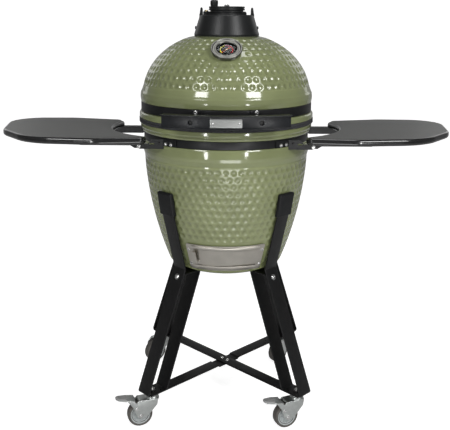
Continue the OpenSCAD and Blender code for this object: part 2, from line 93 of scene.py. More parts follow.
GLAZE = mat("glaze_green", (0.212, 0.238, 0.112), rough=0.13, coat=0.7, var=0.07, vscale=9, bump=0.08, bscale=60, rvar=0.03, coatr=0.02, bdist=0.0006, detail=3)
# glaze pools darker in the grooves and thins to a lighter tone on raised edges
nt = GLAZE.node_tree
geo = nt.nodes.new("ShaderNodeNewGeometry")
pr = nt.nodes.new("ShaderNodeMapRange"); pr.inputs[1].default_value = 0.44; pr.inputs[2].default_value = 0.56; pr.inputs[3].default_value = 0.72; pr.inputs[4].default_value = 1.18
nt.links.new(geo.outputs["Pointiness"], pr.inputs[0])
mul = nt.nodes.new("ShaderNodeMixRGB"); mul.blend_type = "MULTIPLY"; mul.inputs[0].default_value = 1.0
src = principled(GLAZE).inputs["Base Color"].links[0].from_socket
nt.links.new(src, mul.inputs[1]); nt.links.new(pr.outputs[0], mul.inputs[2]); nt.links.new(mul.outputs[0], principled(GLAZE).inputs["Base Color"])
RAW = mat("ceramic_unglazed", (0.40, 0.34, 0.26), rough=0.85, var=0.18, vscale=25, bump=0.5, bscale=350)
BRICK = mat("firebrick", (0.47, 0.37, 0.26), rough=0.9, var=0.22, vscale=18, bump=0.7, bscale=260, dark=(0.25, 0.2, 0.15))
IRON = mat("grate_cast_iron", (0.03, 0.03, 0.031), rough=0.62, metal=0.5, var=0.3, bump=0.6, bscale=500)
ROD = mat("grate_polished_rod", (0.62, 0.62, 0.61), rough=0.2, metal=1.0, var=0.06, bump=0.08, bscale=900)
FELT = mat("gasket_felt", (0.038, 0.038, 0.042), rough=0.97, var=0.45, vscale=420, bump=1.0, bscale=1500, bdist=0.0012, rvar=0.02)
POWDER = mat("powder_black", (0.0065, 0.0068, 0.0075), rough=0.36, var=0.18, vscale=60, bump=0.22, bscale=1600, rvar=0.06, spec=0.4)
BAND = mat("band_black", (0.007, 0.0073, 0.008), rough=0.38, var=0.15, vscale=40, bump=0.10, bscale=900, rvar=0.05, coat=0.0, coatr=0.2, spec=0.4)
HANDLE = mat("handle_black", (0.0085, 0.0095, 0.0115), rough=0.3, var=0.14, vscale=30, bump=0.1, bscale=1300, rvar=0.05, spec=0.3)
STAND = mat("stand_black", (0.0045, 0.0045, 0.0048), rough=0.42, var=0.2, vscale=50, bump=0.25, bscale=1500, rvar=0.06, spec=0.35)
CAST = mat("cast_black", (0.0085, 0.0095, 0.01), rough=0.38, var=0.16, vscale=45, bump=0.35, bscale=850, rvar=0.07, spec=0.4)
BRUSH = mat("brushed_stainless", (0.5, 0.475, 0.43), rough=0.34, metal=1.0, var=0.05, vscale=30, bump=0.07, bscale=60, stretch=(0.5, 0.5, 45), rvar=0.05, bdist=0.0003)
BRUSHV = mat("brushed_nameplate", (0.42, 0.43, 0.42), rough=0.33, metal=1.0, var=0.04, vscale=30, bump=0.05, bscale=60, stretch=(45, 45, 0.5), rvar=0.04, bdist=0.0003)
TURNED = mat("turned_steel", (0.15, 0.15, 0.138), rough=0.38, metal=1.0, var=0.05, vscale=40, bump=0.18, bscale=2600, rvar=0.08, polar=True, bdist=0.0002, detail=2)
ZINC = mat("zinc_bright", (0.66, 0.66, 0.655), rough=0.24, metal=1.0, var=0.10, vscale=90, bump=0.10, bscale=700, rvar=0.08)
ZINCF = mat("zinc_fork", (0.58, 0.6, 0.59), rough=0.34, metal=1.0, var=0.05, vscale=120, bump=0.04, bscale=500, rvar=0.05)
SPRING = mat("spring_wire", (0.06, 0.06, 0.065), rough=0.35, metal=0.8, var=0.2, bump=0.12, bscale=800)
# shelf top: the grain bump is real texture, but the grey tone over the black board is painted sheen of light glancing
# off the top
SHELF_TOP_SHEEN = mat("shelf_top_grain_painted_sheen", (0.085, 0.086, 0.083), rough=0.44, var=0.10, vscale=200, bump=0.2, bscale=1400, rvar=0.08)
EDGE = mat("shelf_edge_gloss", (0.008, 0.008, 0.0085), rough=0.16, coat=0.6, var=0.15, vscale=60, bump=0.06, bscale=300, rvar=0.04)
RUBBER = mat("pad_rubber", (0.0055, 0.006, 0.0065), rough=0.55, var=0.2, vscale=80, bump=0.4, bscale=1100, spec=0.3)
TREAD = mat("caster_tread", (0.085, 0.078, 0.07), rough=0.55, var=0.12, vscale=70, bump=0.3, bscale=900)
CORE = mat("caster_core", (0.4, 0.43, 0.43), rough=0.42, var=0.08, vscale=60, bump=0.08, bscale=700)
PLAST = mat("pedal_plastic", (0.3, 0.3, 0.3), rough=0.45, var=0.1, vscale=80, bump=0.3, bscale=900)
DIAL = mat("dial_black", (0.006, 0.006, 0.006), spec=0.12, rough=0.6, var=0.2, vscale=300, bump=0.1, bscale=1500)
YEL = mat("dial_yellow", (0.72, 0.62, 0.03), rough=0.45, var=0.08, vscale=400, bump=0.05, spec=0.15)
PNK = mat("dial_pink", (0.70, 0.20, 0.32), rough=0.45, var=0.08, vscale=400, bump=0.05, spec=0.15)
RED = mat("dial_red", (0.62, 0.05, 0.05), rough=0.45, var=0.08, vscale=400, bump=0.05, spec=0.15)
WHT = mat("dial_white", (0.75, 0.75, 0.73), rough=0.45, var=0.05, vscale=400, bump=0.05, spec=0.15)
NEEDLE = mat("needle_red_orange", (0.80, 0.10, 0.02), rough=0.35, var=0.10, vscale=300, bump=0.05)
BRASS = mat("screw_brass_tone", (0.62, 0.52, 0.33), rough=0.3, metal=1.0, var=0.1, vscale=200, bump=0.1, bscale=800)
GLASS = mat("dial_glass", (0.9, 0.93, 0.93), rough=0.04, var=0.02, bump=0.01, rvar=0.01)
principled(GLASS).inputs["Transmission Weight"].default_value = 1.0
principled(GLASS).inputs["IOR"].default_value = 1.12


# ---------------------------------------------------------------- mesh helpers (millimetres in, metres out)
def finish_mesh(me, angle=35.0, smooth=True):
    me.polygons.foreach_set("use_smooth", [smooth] * len(me.polygons))
    if smooth and angle:
        me.set_sharp_from_angle(angle=math.radians(angle))
    me.update()


def obj_from(name, verts, faces, m, matrix=None, angle=35.0, weld=True, recalc=True):
    me = bpy.data.meshes.new(name)
    v = np.asarray(verts, float) * MM
    me.from_pydata(v.tolist(), [], faces)
    if weld or recalc:
        bm = bmesh.new(); bm.from_mesh(me)
        if weld:
            bmesh.ops.remove_doubles(bm, verts=bm.verts, dist=2e-6)
            bad = [f for f in bm.faces if f.calc_area() < 1e-13]
            if bad:
                bmesh.ops.delete(bm, geom=bad, context="FACES_ONLY")
        if recalc:
            bmesh.ops.recalc_face_normals(bm, faces=bm.faces)
        bm.to_mesh(me); bm.free()
    finish_mesh(me, angle)
    for x in (m if isinstance(m, (list, tuple)) else [m]):
        me.materials.append(x)
    o = bpy.data.objects.new(name, me)
    bpy.context.scene.collection.objects.link(o)
    if matrix is not None:
        o.matrix_world = matrix
    return o


def fillet(pts, rs, n=4, closed=True):
    pts = [Vector(p) for p in pts]
    rs = rs if isinstance(rs, (list, tuple)) else [rs] * len(pts)
    out = []
    k = len(pts)
    for i, p in enumerate(pts):
        if (not closed and i in (0, k - 1)) or rs[i] <= 0:
            out.append(tuple(p)); continue
        a, b = pts[i - 1], pts[(i + 1) % k]
        u, v = (a - p), (b - p)
        lu, lv = u.length, v.length
        if lu < 1e-9 or lv < 1e-9:
            out.append(tuple(p)); continue
        u, v = u / lu, v / lv
        c = max(-1, min(1, u.dot(v)))
        th = math.acos(c)
        if th > math.radians(176):
            out.append(tuple(p)); continue
        d = min(rs[i] / math.tan(th / 2), lu * 0.48, lv * 0.48)
        r = d * math.tan(th / 2)
        p0, p1 = p + u * d, p + v * d
        cen = p + (u + v).normalized() * (r / math.sin(th / 2))
        a0 = p0 - cen; a1 = p1 - cen
        ang = math.atan2(a0.x * a1.y - a0.y * a1.x, a0.dot(a1))
        for j in range(n + 1):
            t = ang * j / n
            out.append((cen.x + a0.x * math.cos(t) - a0.y * math.sin(t), cen.y + a0.x * math.sin(t) + a0.y * math.cos(t)))
    return out


def revolve(name, prof, m, segs=160, closed=True, matrix=None, angle=35.0, a0=0.0, a1=360.0, jitter=None):
    full = abs(a1 - a0 - 360) < 1e-6
    cols = segs if full else segs + 1
    ang = np.radians(a0 + (a1 - a0) * np.arange(cols) / segs)
    P = np.asarray(prof, float)
    k = len(P)
    V = np.zeros((cols, k, 3))
    V[:, :, 0] = np.cos(ang)[:, None] * P[None, :, 0]
    V[:, :, 1] = np.sin(ang)[:, None] * P[None, :, 0]
    V[:, :, 2] = P[None, :, 1]
    if jitter:
        rng = np.random.default_rng(7)
        V[:, :, :2] *= (1 + rng.normal(0, jitter, (cols, k, 1)) / 250.0)
        V[:, :, 2] += rng.normal(0, jitter, (cols, k))
    F = []
    kk = k if closed else k - 1
    for c in range(cols if full else cols - 1):
        d = (c + 1) % cols
        for j in range(kk):
            e = (j + 1) % k
            F.append((c * k + j, d * k + j, d * k + e, c * k + e))
    if not full and closed:
        F.append(tuple(range(k))[::-1]); F.append(tuple((cols - 1) * k + j for j in range(k)))
    return obj_from(name, V.reshape(-1, 3), F, m, matrix, angle)


def plate(name, loops, t, m, matrix=None, bevel=0.6, res=2, angle=35.0):
    """A flat plate of thickness t centred on z 0, outline loops in the xy plane, rounded edges."""
    cu = bpy.data.curves.new(name, "CURVE")
    cu.dimensions = "2D"; cu.fill_mode = "BOTH"
    b = min(bevel, t * 0.49)
    cu.extrude = (t / 2 - b) * MM; cu.bevel_depth = b * MM; cu.bevel_resolution = res; cu.offset = -b * MM
    for lp in loops:
        s = cu.splines.new("POLY"); s.points.add(len(lp) - 1)
        s.points.foreach_set("co", [c for q in lp for c in (q[0] * MM, q[1] * MM, 0.0, 1.0)])
        s.use_cyclic_u = True
    tmp = bpy.data.objects.new(name + "_c", cu)
    bpy.context.scene.collection.objects.link(tmp)
    bpy.context.view_layer.update()
    me = bpy.data.meshes.new_from_object(tmp.evaluated_get(bpy.context.evaluated_depsgraph_get()))
    bpy.data.objects.remove(tmp); bpy.data.curves.remove(cu)
    me.name = name
    bm = bmesh.new(); bm.from_mesh(me)
    bmesh.ops.remove_doubles(bm, verts=bm.verts, dist=2e-6)
    bmesh.ops.recalc_face_normals(bm, faces=bm.faces)
    bm.to_mesh(me); bm.free()
    finish_mesh(me, angle)
    me.materials.clear()
    for x in (m if isinstance(m, (list, tuple)) else [m]):
        me.materials.append(x)
    o = bpy.data.objects.new(name, me)
    bpy.context.scene.collection.objects.link(o)
    if matrix is not None:
        o.matrix_world = matrix
    return o


def T(x=0, y=0, z=0):
    return Matrix.Translation((x * MM, y * MM, z * MM))


def R(deg, ax):
    return Matrix.Rotation(math.radians(deg), 4, ax)


def radialM(az, r, z):
    """+z points outward at azimuth az from the front (-Y), positive towards +X."""
    return R(az, "Z") @ T(0, -r, z) @ R(90, "X")


def xzM(y):
    """plane xy -> world XZ, at Y = y"""
    return T(0, y, 0) @ R(90, "X")


def diagM(a):
    return R(a, "Z")


def join(name, objs):
    bpy.context.view_layer.update()
    mats, me = [], bpy.data.meshes.new(name)
    bm = bmesh.new()
    for o in objs:
        idx = {}
        for i, s in enumerate(o.data.materials):
            if s not in mats:
                mats.append(s)
            idx[i] = mats.index(s)
        tmp = o.data.copy(); tmp.transform(o.matrix_world)
        n0 = len(bm.faces)
        bm.from_mesh(tmp)
        bm.faces.ensure_lookup_table()
        for f in bm.faces[n0:]:
            f.material_index = idx.get(f.material_index, 0)
        bpy.data.meshes.remove(tmp)
    bm.to_mesh(me); bm.free()
    for s in mats:
        me.materials.append(s)
    for o in objs:
        bpy.data.objects.remove(o)
    ob = bpy.data.objects.new(name, me)
    bpy.context.scene.collection.objects.link(ob)
    return ob


def done(o, body, slot, *nodes):
    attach(o, body)
    for n in nodes:
        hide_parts(n)
    return o


def circle(r, n=48, cx=0, cy=0, a0=0.0):
    return [(cx + r * math.cos(math.radians(a0) + 2 * math.pi * i / n), cy + r * math.sin(math.radians(a0) + 2 * math.pi * i / n)) for i in range(n)]


def hexa(r, cx=0, cy=0):
    return [(cx + r * math.cos(math.radians(a)), cy + r * math.sin(math.radians(a))) for a in HEX]


def button(name, r, h, m, matrix, sock=0.45, washer=0.0):
    """A socket button-head screw, base on z 0."""
    prof = fillet([(0, -0.3), (r, -0.3), (r, h * 0.35), (r * 0.72, h), (r * sock, h), (r * sock * 0.9, h * 0.45), (0, h * 0.45)], [0, 0.1, 0.5, 0.6, 0.25, 0.1, 0], 3, closed=False)
    o = revolve(name, prof, m, 28, closed=False, matrix=matrix)
    if washer:
        w = revolve(name + "w", fillet([(r * 0.5, -0.3), (washer, -0.3), (washer, 0.9), (r * 0.5, 0.9)], [0, 0.2, 0.4, 0], 2), m, 28, matrix=matrix)
        return [o, w]
    return [o]


def nut(name, r, h, m, matrix):
    o = plate(name, [fillet(hexa(r), 0.8, 2)], h, m, matrix @ T(0, 0, h / 2), bevel=0.7)
    t = revolve(name + "t", fillet([(0, -0.2), (r * 0.5, -0.2), (r * 0.5, h + 1.6), (0, h + 1.6)], [0, 0, 0.6, 0], 3, closed=False), m, 20, closed=False, matrix=matrix)
    return [o, t]


# ---------------------------------------------------------------- ceramic shells
def bowl_r(z):
    return 250.5 * (1 - ((800 - z) / 558.0) ** 1.65) ** (1 / 1.65)


def dome_r(z):
    return 256 * (1 - ((z - 960) / 200.0) ** 2.15) ** (1 / 2.15)


def dome_in(z):
    return 234 * (1 - ((z - 960) / 178.0) ** 2.15) ** (1 / 2.15)


SINK = 3.4


def sunk(curve):
    """The meridian curve stepped inward, so that the dimpled skin covers it."""
    C = np.asarray(curve, float)
    t = np.gradient(C, axis=0); t /= np.hypot(t[:, 0], t[:, 1])[:, None]
    n = np.c_[-t[:, 1], t[:, 0]]
    if n[len(n) // 2, 0] > 0:
        n = -n
    return [tuple(p) for p in C + n * SINK]


def dimples(curve, s_first, s_last, pitch, around, D, rad, skip, m, name, phase0=0.0, step=1.8, cols=720, marks=(), hole=None):
    """A skin of revolution with round dents pressed into its glaze. curve: meridian points (r, z) from the top down."""
    C = np.asarray(curve, float)
    S = np.r_[0, np.cumsum(np.hypot(*np.diff(C, axis=0).T))]
    stops = [0.0] + sorted(float(np.interp(-z, -C[:, 1], S)) for z in marks) + [float(S[-1])]
    g = np.concatenate([np.linspace(p, q, max(2, int(round((q - p) / step)) + 1))[:-1] for p, q in zip(stops[:-1], stops[1:])] + [[stops[-1]]])
    r = np.interp(g, S, C[:, 0]); z = np.interp(g, S, C[:, 1])
    tr = np.gradient(r, g); tz = np.gradient(z, g)
    nr, nz = -tz, tr
    rows = int(round((s_last - s_first) / pitch)) + 1
    pit = (s_last - s_first) / (rows - 1)
    az = np.arange(cols) * 360.0 / cols
    disp = np.zeros((len(g), cols))
    for i in range(rows):
        sc = s_first + i * pit
        rc_ = float(np.interp(sc, S, C[:, 0])); zc = float(np.interp(sc, S, C[:, 1]))
        n = int(round(2 * math.pi * rc_ / around))
        step_a = 360.0 / n
        off = (0.5 if i % 2 else 0.0) + phase0
        near = np.floor(az / step_a - off + 0.5)
        ctr = (near + off) * step_a
        keep = np.array([0.0 if skip((c + 180) % 360 - 180, zc, rc_) else 1.0 for c in ctr])
        da = np.radians(az - ctr) * rc_
        q = np.where(np.abs(g - sc) < rad * 1.3)[0]
        rho2 = ((g[q] - sc)[:, None] ** 2 + da[None, :] ** 2) / rad ** 2
        w = np.clip(1 - rho2, 0, None)
        lipw = np.exp(-((np.sqrt(rho2) - 1.0) / 0.13) ** 2) * 0.10
        disp[q] += (-D * w ** 1.06 + D * 0.5 * lipw) * keep[None, :]
    ar = np.radians(az - 90.0)
    rr = r[:, None] + nr[:, None] * disp; zz = z[:, None] + nz[:, None] * disp
    V = np.stack([rr * np.cos(ar), rr * np.sin(ar), zz], axis=2).reshape(-1, 3)
    F = []
    for i in range(len(g) - 1):
        zm = (z[i] + z[i + 1]) / 2
        for c in range(cols):
            d = (c + 1) % cols
            if hole and abs(((c + 0.5) * 360.0 / cols + 180) % 360 - 180) < hole[0] and hole[1] < zm < hole[2]:
                continue
            F.append((i * cols + c, (i + 1) * cols + c, (i + 1) * cols + d, i * cols + d))
    N = np.stack([np.repeat(nr[:, None], cols, 1) * np.cos(ar), np.repeat(nr[:, None], cols, 1) * np.sin(ar), np.repeat(nz[:, None], cols, 1)], axis=2).reshape(-1, 3)
    # every free edge is turned inward to meet the shell behind
    cnt = {}
    for f in F:
        for p, q in zip(f, f[1:] + f[:1]):
            e = (p, q) if p < q else (q, p)
            cnt[e] = None if e in cnt else (p, q)
    idx, extra = {}, []
    for pq in [v for v in cnt.values() if v]:
        for p in pq:
            if p not in idx:
                idx[p] = len(V) + len(extra)
                extra.append(V[p] - N[p] * (SINK + 0.3))
        p, q = pq
        F.append((q, p, idx[p], idx[q]))
    V = np.vstack([V, np.array(extra)])
    return obj_from(name, V, F, m, angle=60, weld=False, recalc=True)


def shell_with_port(name, outer, inner, mats, port):
    """outer and inner: matching closed profile parts; port = (half angle, z0, z1) cut at the front."""
    cols = 360
    prof = outer + inner
    no = len(outer)
    P = np.asarray(prof, float); k = len(P)
    ang = np.radians(np.arange(cols) - 90.0)
    V = np.zeros((cols, k, 3))
    V[:, :, 0] = np.cos(ang)[:, None] * P[:, 0]; V[:, :, 1] = np.sin(ang)[:, None] * P[:, 0]; V[:, :, 2] = P[:, 1]
    F, half, z0, z1 = [], port[0], port[1], port[2]

    def inport(c, j):
        azc = ((c + 0.5 + 180) % 360) - 180
        zc = (P[j, 1] + P[(j + 1) % k, 1]) / 2
        rc = (P[j, 0] + P[(j + 1) % k, 0]) / 2
        return abs(azc) < half and z0 < zc < z1 and rc > 130
    for c in range(cols):
        d = (c + 1) % cols
        for j in range(k - 1):
            if inport(c, j):
                continue
            F.append((c * k + j, d * k + j, d * k + j + 1, c * k + j + 1))
    rows_o = [j for j in range(no) if z0 - 0.01 <= P[j, 1] <= z1 + 0.01 and P[j, 0] > 130]
    rows_i = [j for j in range(no, k) if z0 - 0.01 <= P[j, 1] <= z1 + 0.01 and P[j, 0] > 130]
    for az in (-half, half):
        c = int(az) % cols
        F.append(tuple(c * k + j for j in rows_o) + tuple(c * k + j for j in rows_i))
    for zt in (z0, z1):
        jo = min(rows_o, key=lambda j: abs(P[j, 1] - zt)); ji = min(rows_i, key=lambda j: abs(P[j, 1] - zt))
        for a in range(-half, half):
            c, d = a % cols, (a + 1) % cols
            F.append((c * k + jo, d * k + jo, d * k + ji, c * k + ji))
    return obj_from(name, V.reshape(-1, 3), F, mats, angle=40)


zs = sorted(set([z for z in range(464, 786, 6)] + [482, 534]))
outer = fillet([(0, 445), (150, 445), (176, 460)], [0, 22, 0], 6, closed=False)
outer += [(bowl_r(462), 462)] + sunk([(bowl_r(z), z) for z in zs if z >= 464] + [(bowl_r(785), 785)]) + [(bowl_r(785), 785)]
outer += fillet([(bowl_r(785), 785), (250.0, 789), (254.2, 803), (255, 812), (255, 834), (253.5, 838.5), (249, 838.8), (249, 862), (255, 863.2), (257.2, 868), (255.6, 873), (259.5, 874.6), (262, 878), (262, 888), (260, 890), (232, 890)],
                [0, 3, 8, 6, 4, 1.5, 1, 1, 2, 3, 1.2, 1.5, 4, 2, 2, 0], 5, closed=False)[1:]
inner = fillet([(228, 890), (226, 840), (223.9, 780)], [3, 10, 0], 4, closed=False)
inner = [(229.5, 890)] + inner[1:] + [(bowl_r(z) - 26, z) for z in sorted(set(list(range(486, 780, 12)) + [482, 534]), reverse=True)] + [(140, 472), (0, 472)]
base = shell_with_port("ceramic_base", outer, inner, [GLAZE, RAW], (24, 482, 534))
for p in base.data.polygons:
    c = p.center
    r = math.hypot(c.x, c.y) * 1000
    z = c.z * 1000
    if (z > 460 and z < 785 and r < bowl_r(max(z, 462)) - 6) or (r < 226 and z >= 785) or (z > 471.5 and r < 165 and z < 500):
        p.material_index = 1
bowl_curve = [(bowl_r(z), z) for z in np.linspace(785, 462, 260)]
bb = dimples(bowl_curve, 12.0, 322.0, 20.3, 22.3, 2.3, 9.5, lambda a, z, r: abs(a) < 36.5 and z < 559, GLAZE, "ceramic_base_dimples", marks=(482, 534), hole=(24, 482, 534))
base = join("ceramic_base_shell", [base, bb])
done(base, "grill_base", "glazed_shell", "base_shell")

dz = list(np.linspace(1003, 1136, 44))
lo = fillet([(234, 904), (263.5, 904), (265, 905.5), (265, 918), (262.5, 921.6), (257, 923.5), (257, 951), (260, 952.6), (262, 966), (261, 979), (257.5, 986), (253.2, 998)],
            [0, 0, 1.5, 4, 2, 1, 1, 1.5, 18, 6, 6, 8], 5, closed=False)
lo += [(dome_r(1001), 1001)] + sunk([(dome_r(z), z) for z in dz if z > 1001] + [(dome_r(1139.5), 1139.5)]) + [(dome_r(1139.5), 1139.5)]
lo += fillet([(dome_r(1139), 1139), (116, 1142), (98, 1146), (75, 1146), (75, 1126)], [0, 3, 3, 2, 2], 4, closed=False)
lo += [(dome_in(z), z) for z in np.linspace(1118, 964, 26)]
lo += [(236, 950), (236, 925), (234, 906)]
lid = revolve("ceramic_lid_base", lo, [GLAZE, RAW], 300, closed=True, angle=40)
for p in lid.data.polygons:
    c = p.center
    r = math.hypot(c.x, c.y) * 1000; z = c.z * 1000
    if (z < 960 and r < 240) or (z >= 960 and z < 1120 and r < dome_in(min(z, 1119)) + 8) or (r < 76):
        p.material_index = 1
lid_curve = [(dome_r(z), z) for z in np.linspace(1001, 1139.5, 260)][::-1]
TF = Vector((0, -180, 1109))


def lid_skip(a, z, r):
    x = r * math.sin(math.radians(a)); y = -r * math.cos(math.radians(a))
    return (Vector((x, y, z)) - TF).length < 51


lb = dimples(lid_curve, 12.0, float(np.sum(np.hypot(*np.diff(np.asarray(lid_curve), axis=0).T))) - 12.0, 22.6, 22.3, 2.3, 9.5, lid_skip, GLAZE, "ceramic_lid_dimples", 0.25)
lid = join("ceramic_lid_shell", [lid, lb])
done(lid, "lid", "glazed_shell", "lid_shell")

# ---------------------------------------------------------------- gaskets and bands
def felt(name, r0, r1, z0, z1):
    return revolve(name, fillet([(r0, z0), (r1, z0), (r1, (z0 + z1) / 2), (r1, z1), (r0, z1)], [1, 2, 0, 2, 1], 4), FELT, 420, jitter=0.16, angle=0)


done(felt("felt_lower", 229, 265.8, 890, 896.9), "grill_base", "felt", "base_gasket")
done(felt("felt_upper", 233, 265.8, 897.15, 904), "lid", "felt", "lid_gasket")
done(revolve("steel_band_lower", fillet([(249.05, 839), (252, 839), (252, 862), (249.05, 862)], [0, 1.2, 1.2, 0], 4), BAND, 300), "grill_base", "band_steel", "base_band")
done(revolve("steel_band_upper", fillet([(257.05, 924), (260, 924), (260, 951), (257.05, 951)], [0, 1.2, 1.2, 0], 4), BAND, 300), "lid", "band_steel", "lid_band")

# ---------------------------------------------------------------- handle
HCY, HR = 182.0, 500.0


def arc_sweep(name, prof, m, cy, a0, a1, n, angle=35.0):
    """closed profile (radius, z) swept about a vertical axis at (0, cy), azimuth from the front."""
    return revolve(name, prof, m, n, closed=True, matrix=T(0, cy, 0), a0=a0 - 90, a1=a1 - 90, angle=angle)


hp = fillet([(473, 905), (500, 905), (500, 908), (490, 908), (490, 940), (500, 940), (500, 943), (473, 943), (473, 940), (484, 940), (484, 908), (473, 908)],
            [0.8, 1.4, 0.6, 0.8, 0.8, 0.6, 1.4, 0.8, 0.5, 0.8, 0.8, 0.5], 3)
parts = [arc_sweep("h_channel", hp, HANDLE, HCY, -21.1, 21.1, 96)]
for s in (-1, 1):
    a = sorted((s * 19.95, s * 21.1))
    parts.append(arc_sweep("h_end", fillet([(488, 905.4), (499.9, 905.4), (499.9, 942.6), (488, 942.6)], [0, 1.4, 1.4, 0], 3), HANDLE, HCY, a[0], a[1], 4))
handle = join("handle_channel", parts)
cut = [revolve("hcut", [(0, -20), (6.5, -20), (6.5, 8), (0, 8)], HANDLE, 40, closed=False, matrix=T(0, HCY, 0) @ radialM(s * 11.4, HR - 8, 923)) for s in (-1, 1)]
cutter = join("hcutter", cut)


def boolean(o, c):
    md = o.modifiers.new("cut", "BOOLEAN"); md.operation = "DIFFERENCE"; md.object = c; md.solver = "EXACT"
    bpy.context.view_layer.update()
    me = bpy.data.meshes.new_from_object(o.evaluated_get(bpy.context.evaluated_depsgraph_get()))
    o.modifiers.clear(); old = o.data; o.data = me; bpy.data.meshes.remove(old)
    bpy.data.objects.remove(c)
    finish_mesh(me, 35)
    return o


handle = boolean(handle, cutter)
for s in (-1, 1):
    lipo = revolve("h_lip", fillet([(6.2, -15.6), (7.3, -15.6), (7.3, 0.45), (6.2, 0.45)], [0, 0.2, 0.5, 0.4], 3), HANDLE, 40, matrix=T(0, HCY, 0) @ radialM(s * 11.4, HR - 10, 923))
    # dark plug at the back of each handle hole: painted shade standing in for the shadow inside the hole
    shade_plug = revolve("h_shade_plug", fillet([(0, -17.4), (8.4, -17.4), (8.4, -15.8), (6.3, -15.8), (6.1, -15.0), (0, -15.0)], [0, 0.5, 0.3, 0.2, 0.2, 0], 3, closed=False), STAND, 40, closed=False, matrix=T(0, HCY, 0) @ radialM(s * 11.4, HR, 923))
    handle = join("handle_channel", [handle, lipo, shade_plug])
done(handle, "lid", "black_steel", "lid_handle")


def curved_plate(name, rf, o0, o1, a0, a1, z0, z1, corner, bevel, m, n=60, cy=0.0, nz=6, rfn=None):
    """A plate wrapped on a cone or cylinder: rf(z) radius, offsets o0 to o1, azimuth range, rounded corners."""
    rmid = rf((z0 + z1) / 2)
    half = (a1 - a0) / 2; mid = (a0 + a1) / 2
    length = math.radians(half) * rmid
    xs = np.r_[-length + corner * (1 - np.cos(np.linspace(0, math.pi / 2, 7))), np.linspace(-length + corner, length - corner, n)[1:-1], length - corner * (1 - np.cos(np.linspace(math.pi / 2, 0, 7)))]
    V, F = [], []
    k = 2 * (nz + 1) + 4
    for x in xs:
        d = max(0.0, corner - (length - abs(x)))
        e = corner - math.sqrt(max(0.0, corner * corner - d * d))
        lo_, hi_ = z0 + e, z1 - e
        if hi_ - lo_ < 2.2 * bevel:
            lo_, hi_ = (z0 + z1) / 2 - 1.1 * bevel, (z0 + z1) / 2 + 1.1 * bevel
        az = math.radians(mid) + x / rmid
        edge = min(1.0, (length - abs(x)) / bevel) if bevel > 0 else 1.0
        b_out = o1 - bevel * (1 - math.sqrt(max(0.0, 1 - (1 - edge) ** 2)))
        ring = [(lo_, o0)] + [(lo_, b_out - bevel)] + [(lo_ + bevel * 0.3, b_out - bevel * 0.3)]
        ring += [(lo_ + bevel + (hi_ - lo_ - 2 * bevel) * i / nz, b_out) for i in range(nz + 1)]
        ring += [(hi_ - bevel * 0.3, b_out - bevel * 0.3), (hi_, b_out - bevel), (hi_, o0)]
        ring += [(hi_ + (lo_ - hi_) * i / nz, o0) for i in range(1, nz)]
        k = len(ring)
        for z, o in ring:
            r = rf(z) + o
            V.append((r * math.sin(az), cy - r * math.cos(az), z))
    for c in range(len(xs) - 1):
        for j in range(k):
            e = (j + 1) % k
            F.append((c * k + j, (c + 1) * k + j, (c + 1) * k + e, c * k + e))
    F.append(tuple(range(k))); F.append(tuple((len(xs) - 1) * k + j for j in range(k))[::-1])
    return obj_from(name, V, F, m, angle=32)


npl = curved_plate("blank_name_plate", lambda z: HR - 9.95, 0, 1.45, -5.05, 5.05, 909, 935, 2.6, 0.35, BRUSHV, 40, HCY)
done(npl, "lid", "brushed_stainless", "name_plate")
riv = []
for s in (-1, 1):
    riv.append(revolve("rivet", fillet([(0, -7), (1.5, -7), (1.5, 0), (2.9, 0), (2.5, 1.3), (1.2, 1.9), (0, 2.0)], [0, 0, 0, 0.2, 0.6, 0.6, 0], 3, closed=False), ZINC, 24, closed=False, matrix=T(0, HCY, 0) @ radialM(s * 4.1, HR - 8.5, 922)))
done(join("name_plate_rivet_pair", riv), "lid", "bolt_steel", "name_plate_rivets")
hb = []
for s in (-1, 1):
    hb += button("hbolt", 5.2, 3.6, ZINC, radialM(s * 18.6, 264.0, 944), washer=6.6)
done(join("handle_button_bolts", hb), "lid", "bolt_steel", "handle_bolts")

# ---------------------------------------------------------------- top vent
hs = fillet([(77, 1147.5), (98, 1147.5), (98.4, 1152), (81.5, 1206.5), (79.5, 1208), (40, 1208), (40, 1204), (77.5, 1204), (93.5, 1152), (77, 1151)],
            [0.5, 1.5, 3, 2.5, 1.5, 1, 0.8, 3, 3, 0.5], 5)
vp = [revolve("v_cone", hs, CAST, 200)]
for s in (-1, 1):
    ear = fillet([(71.5 * s, 1203), (83.0 * s, 1203), (79.6 * s, 1228), (78.4 * s, 1231), (74.4 * s, 1231), (72.6 * s, 1227)][::s], [0.5, 0.5, 1.5, 1.6, 1.6, 3] if s > 0 else [3, 1.6, 1.6, 1.5, 0.5, 0.5], 4)
    vp.append(plate("v_ear", [ear], 17.0, CAST, R(90, "X"), bevel=2.6, res=4))
    vp.append(plate("v_gusset", [fillet([(-12, 1196), (12, 1196), (7.5, 1212), (-7.5, 1212)], [1, 1, 3, 3], 3)], 5.0, CAST, T(s * 80.2, 0, 0) @ R(90, "Z") @ R(90, "X"), bevel=1.6, res=3))
# raised rim under the slide plate
vp.append(revolve("v_rim", fillet([(66, 1207.5), (72, 1207.5), (72, 1209.4), (66, 1209.4)], [0, 0.6, 0.8, 0.8], 3), CAST, 160))
done(join("vent_conical_housing", vp), "lid", "cast_black", "vent_housing")
done(revolve("vent_sealing_ring", fillet([(77, 1146.05), (97.2, 1146.05), (97.6, 1147.5), (77, 1147.5)], [0.3, 0.5, 0.5, 0.3], 3), FELT, 160), "lid", "felt", "vent_gasket")
sb = []
for s in (-1, 1):
    sb += button("vsb", 5.2, 3.6, CAST, radialM(s * 90, 92.6, 1170.5), washer=6.2)
done(join("vent_side_bolt_pair", sb), "lid", "cast_black", "vent_side_bolts")


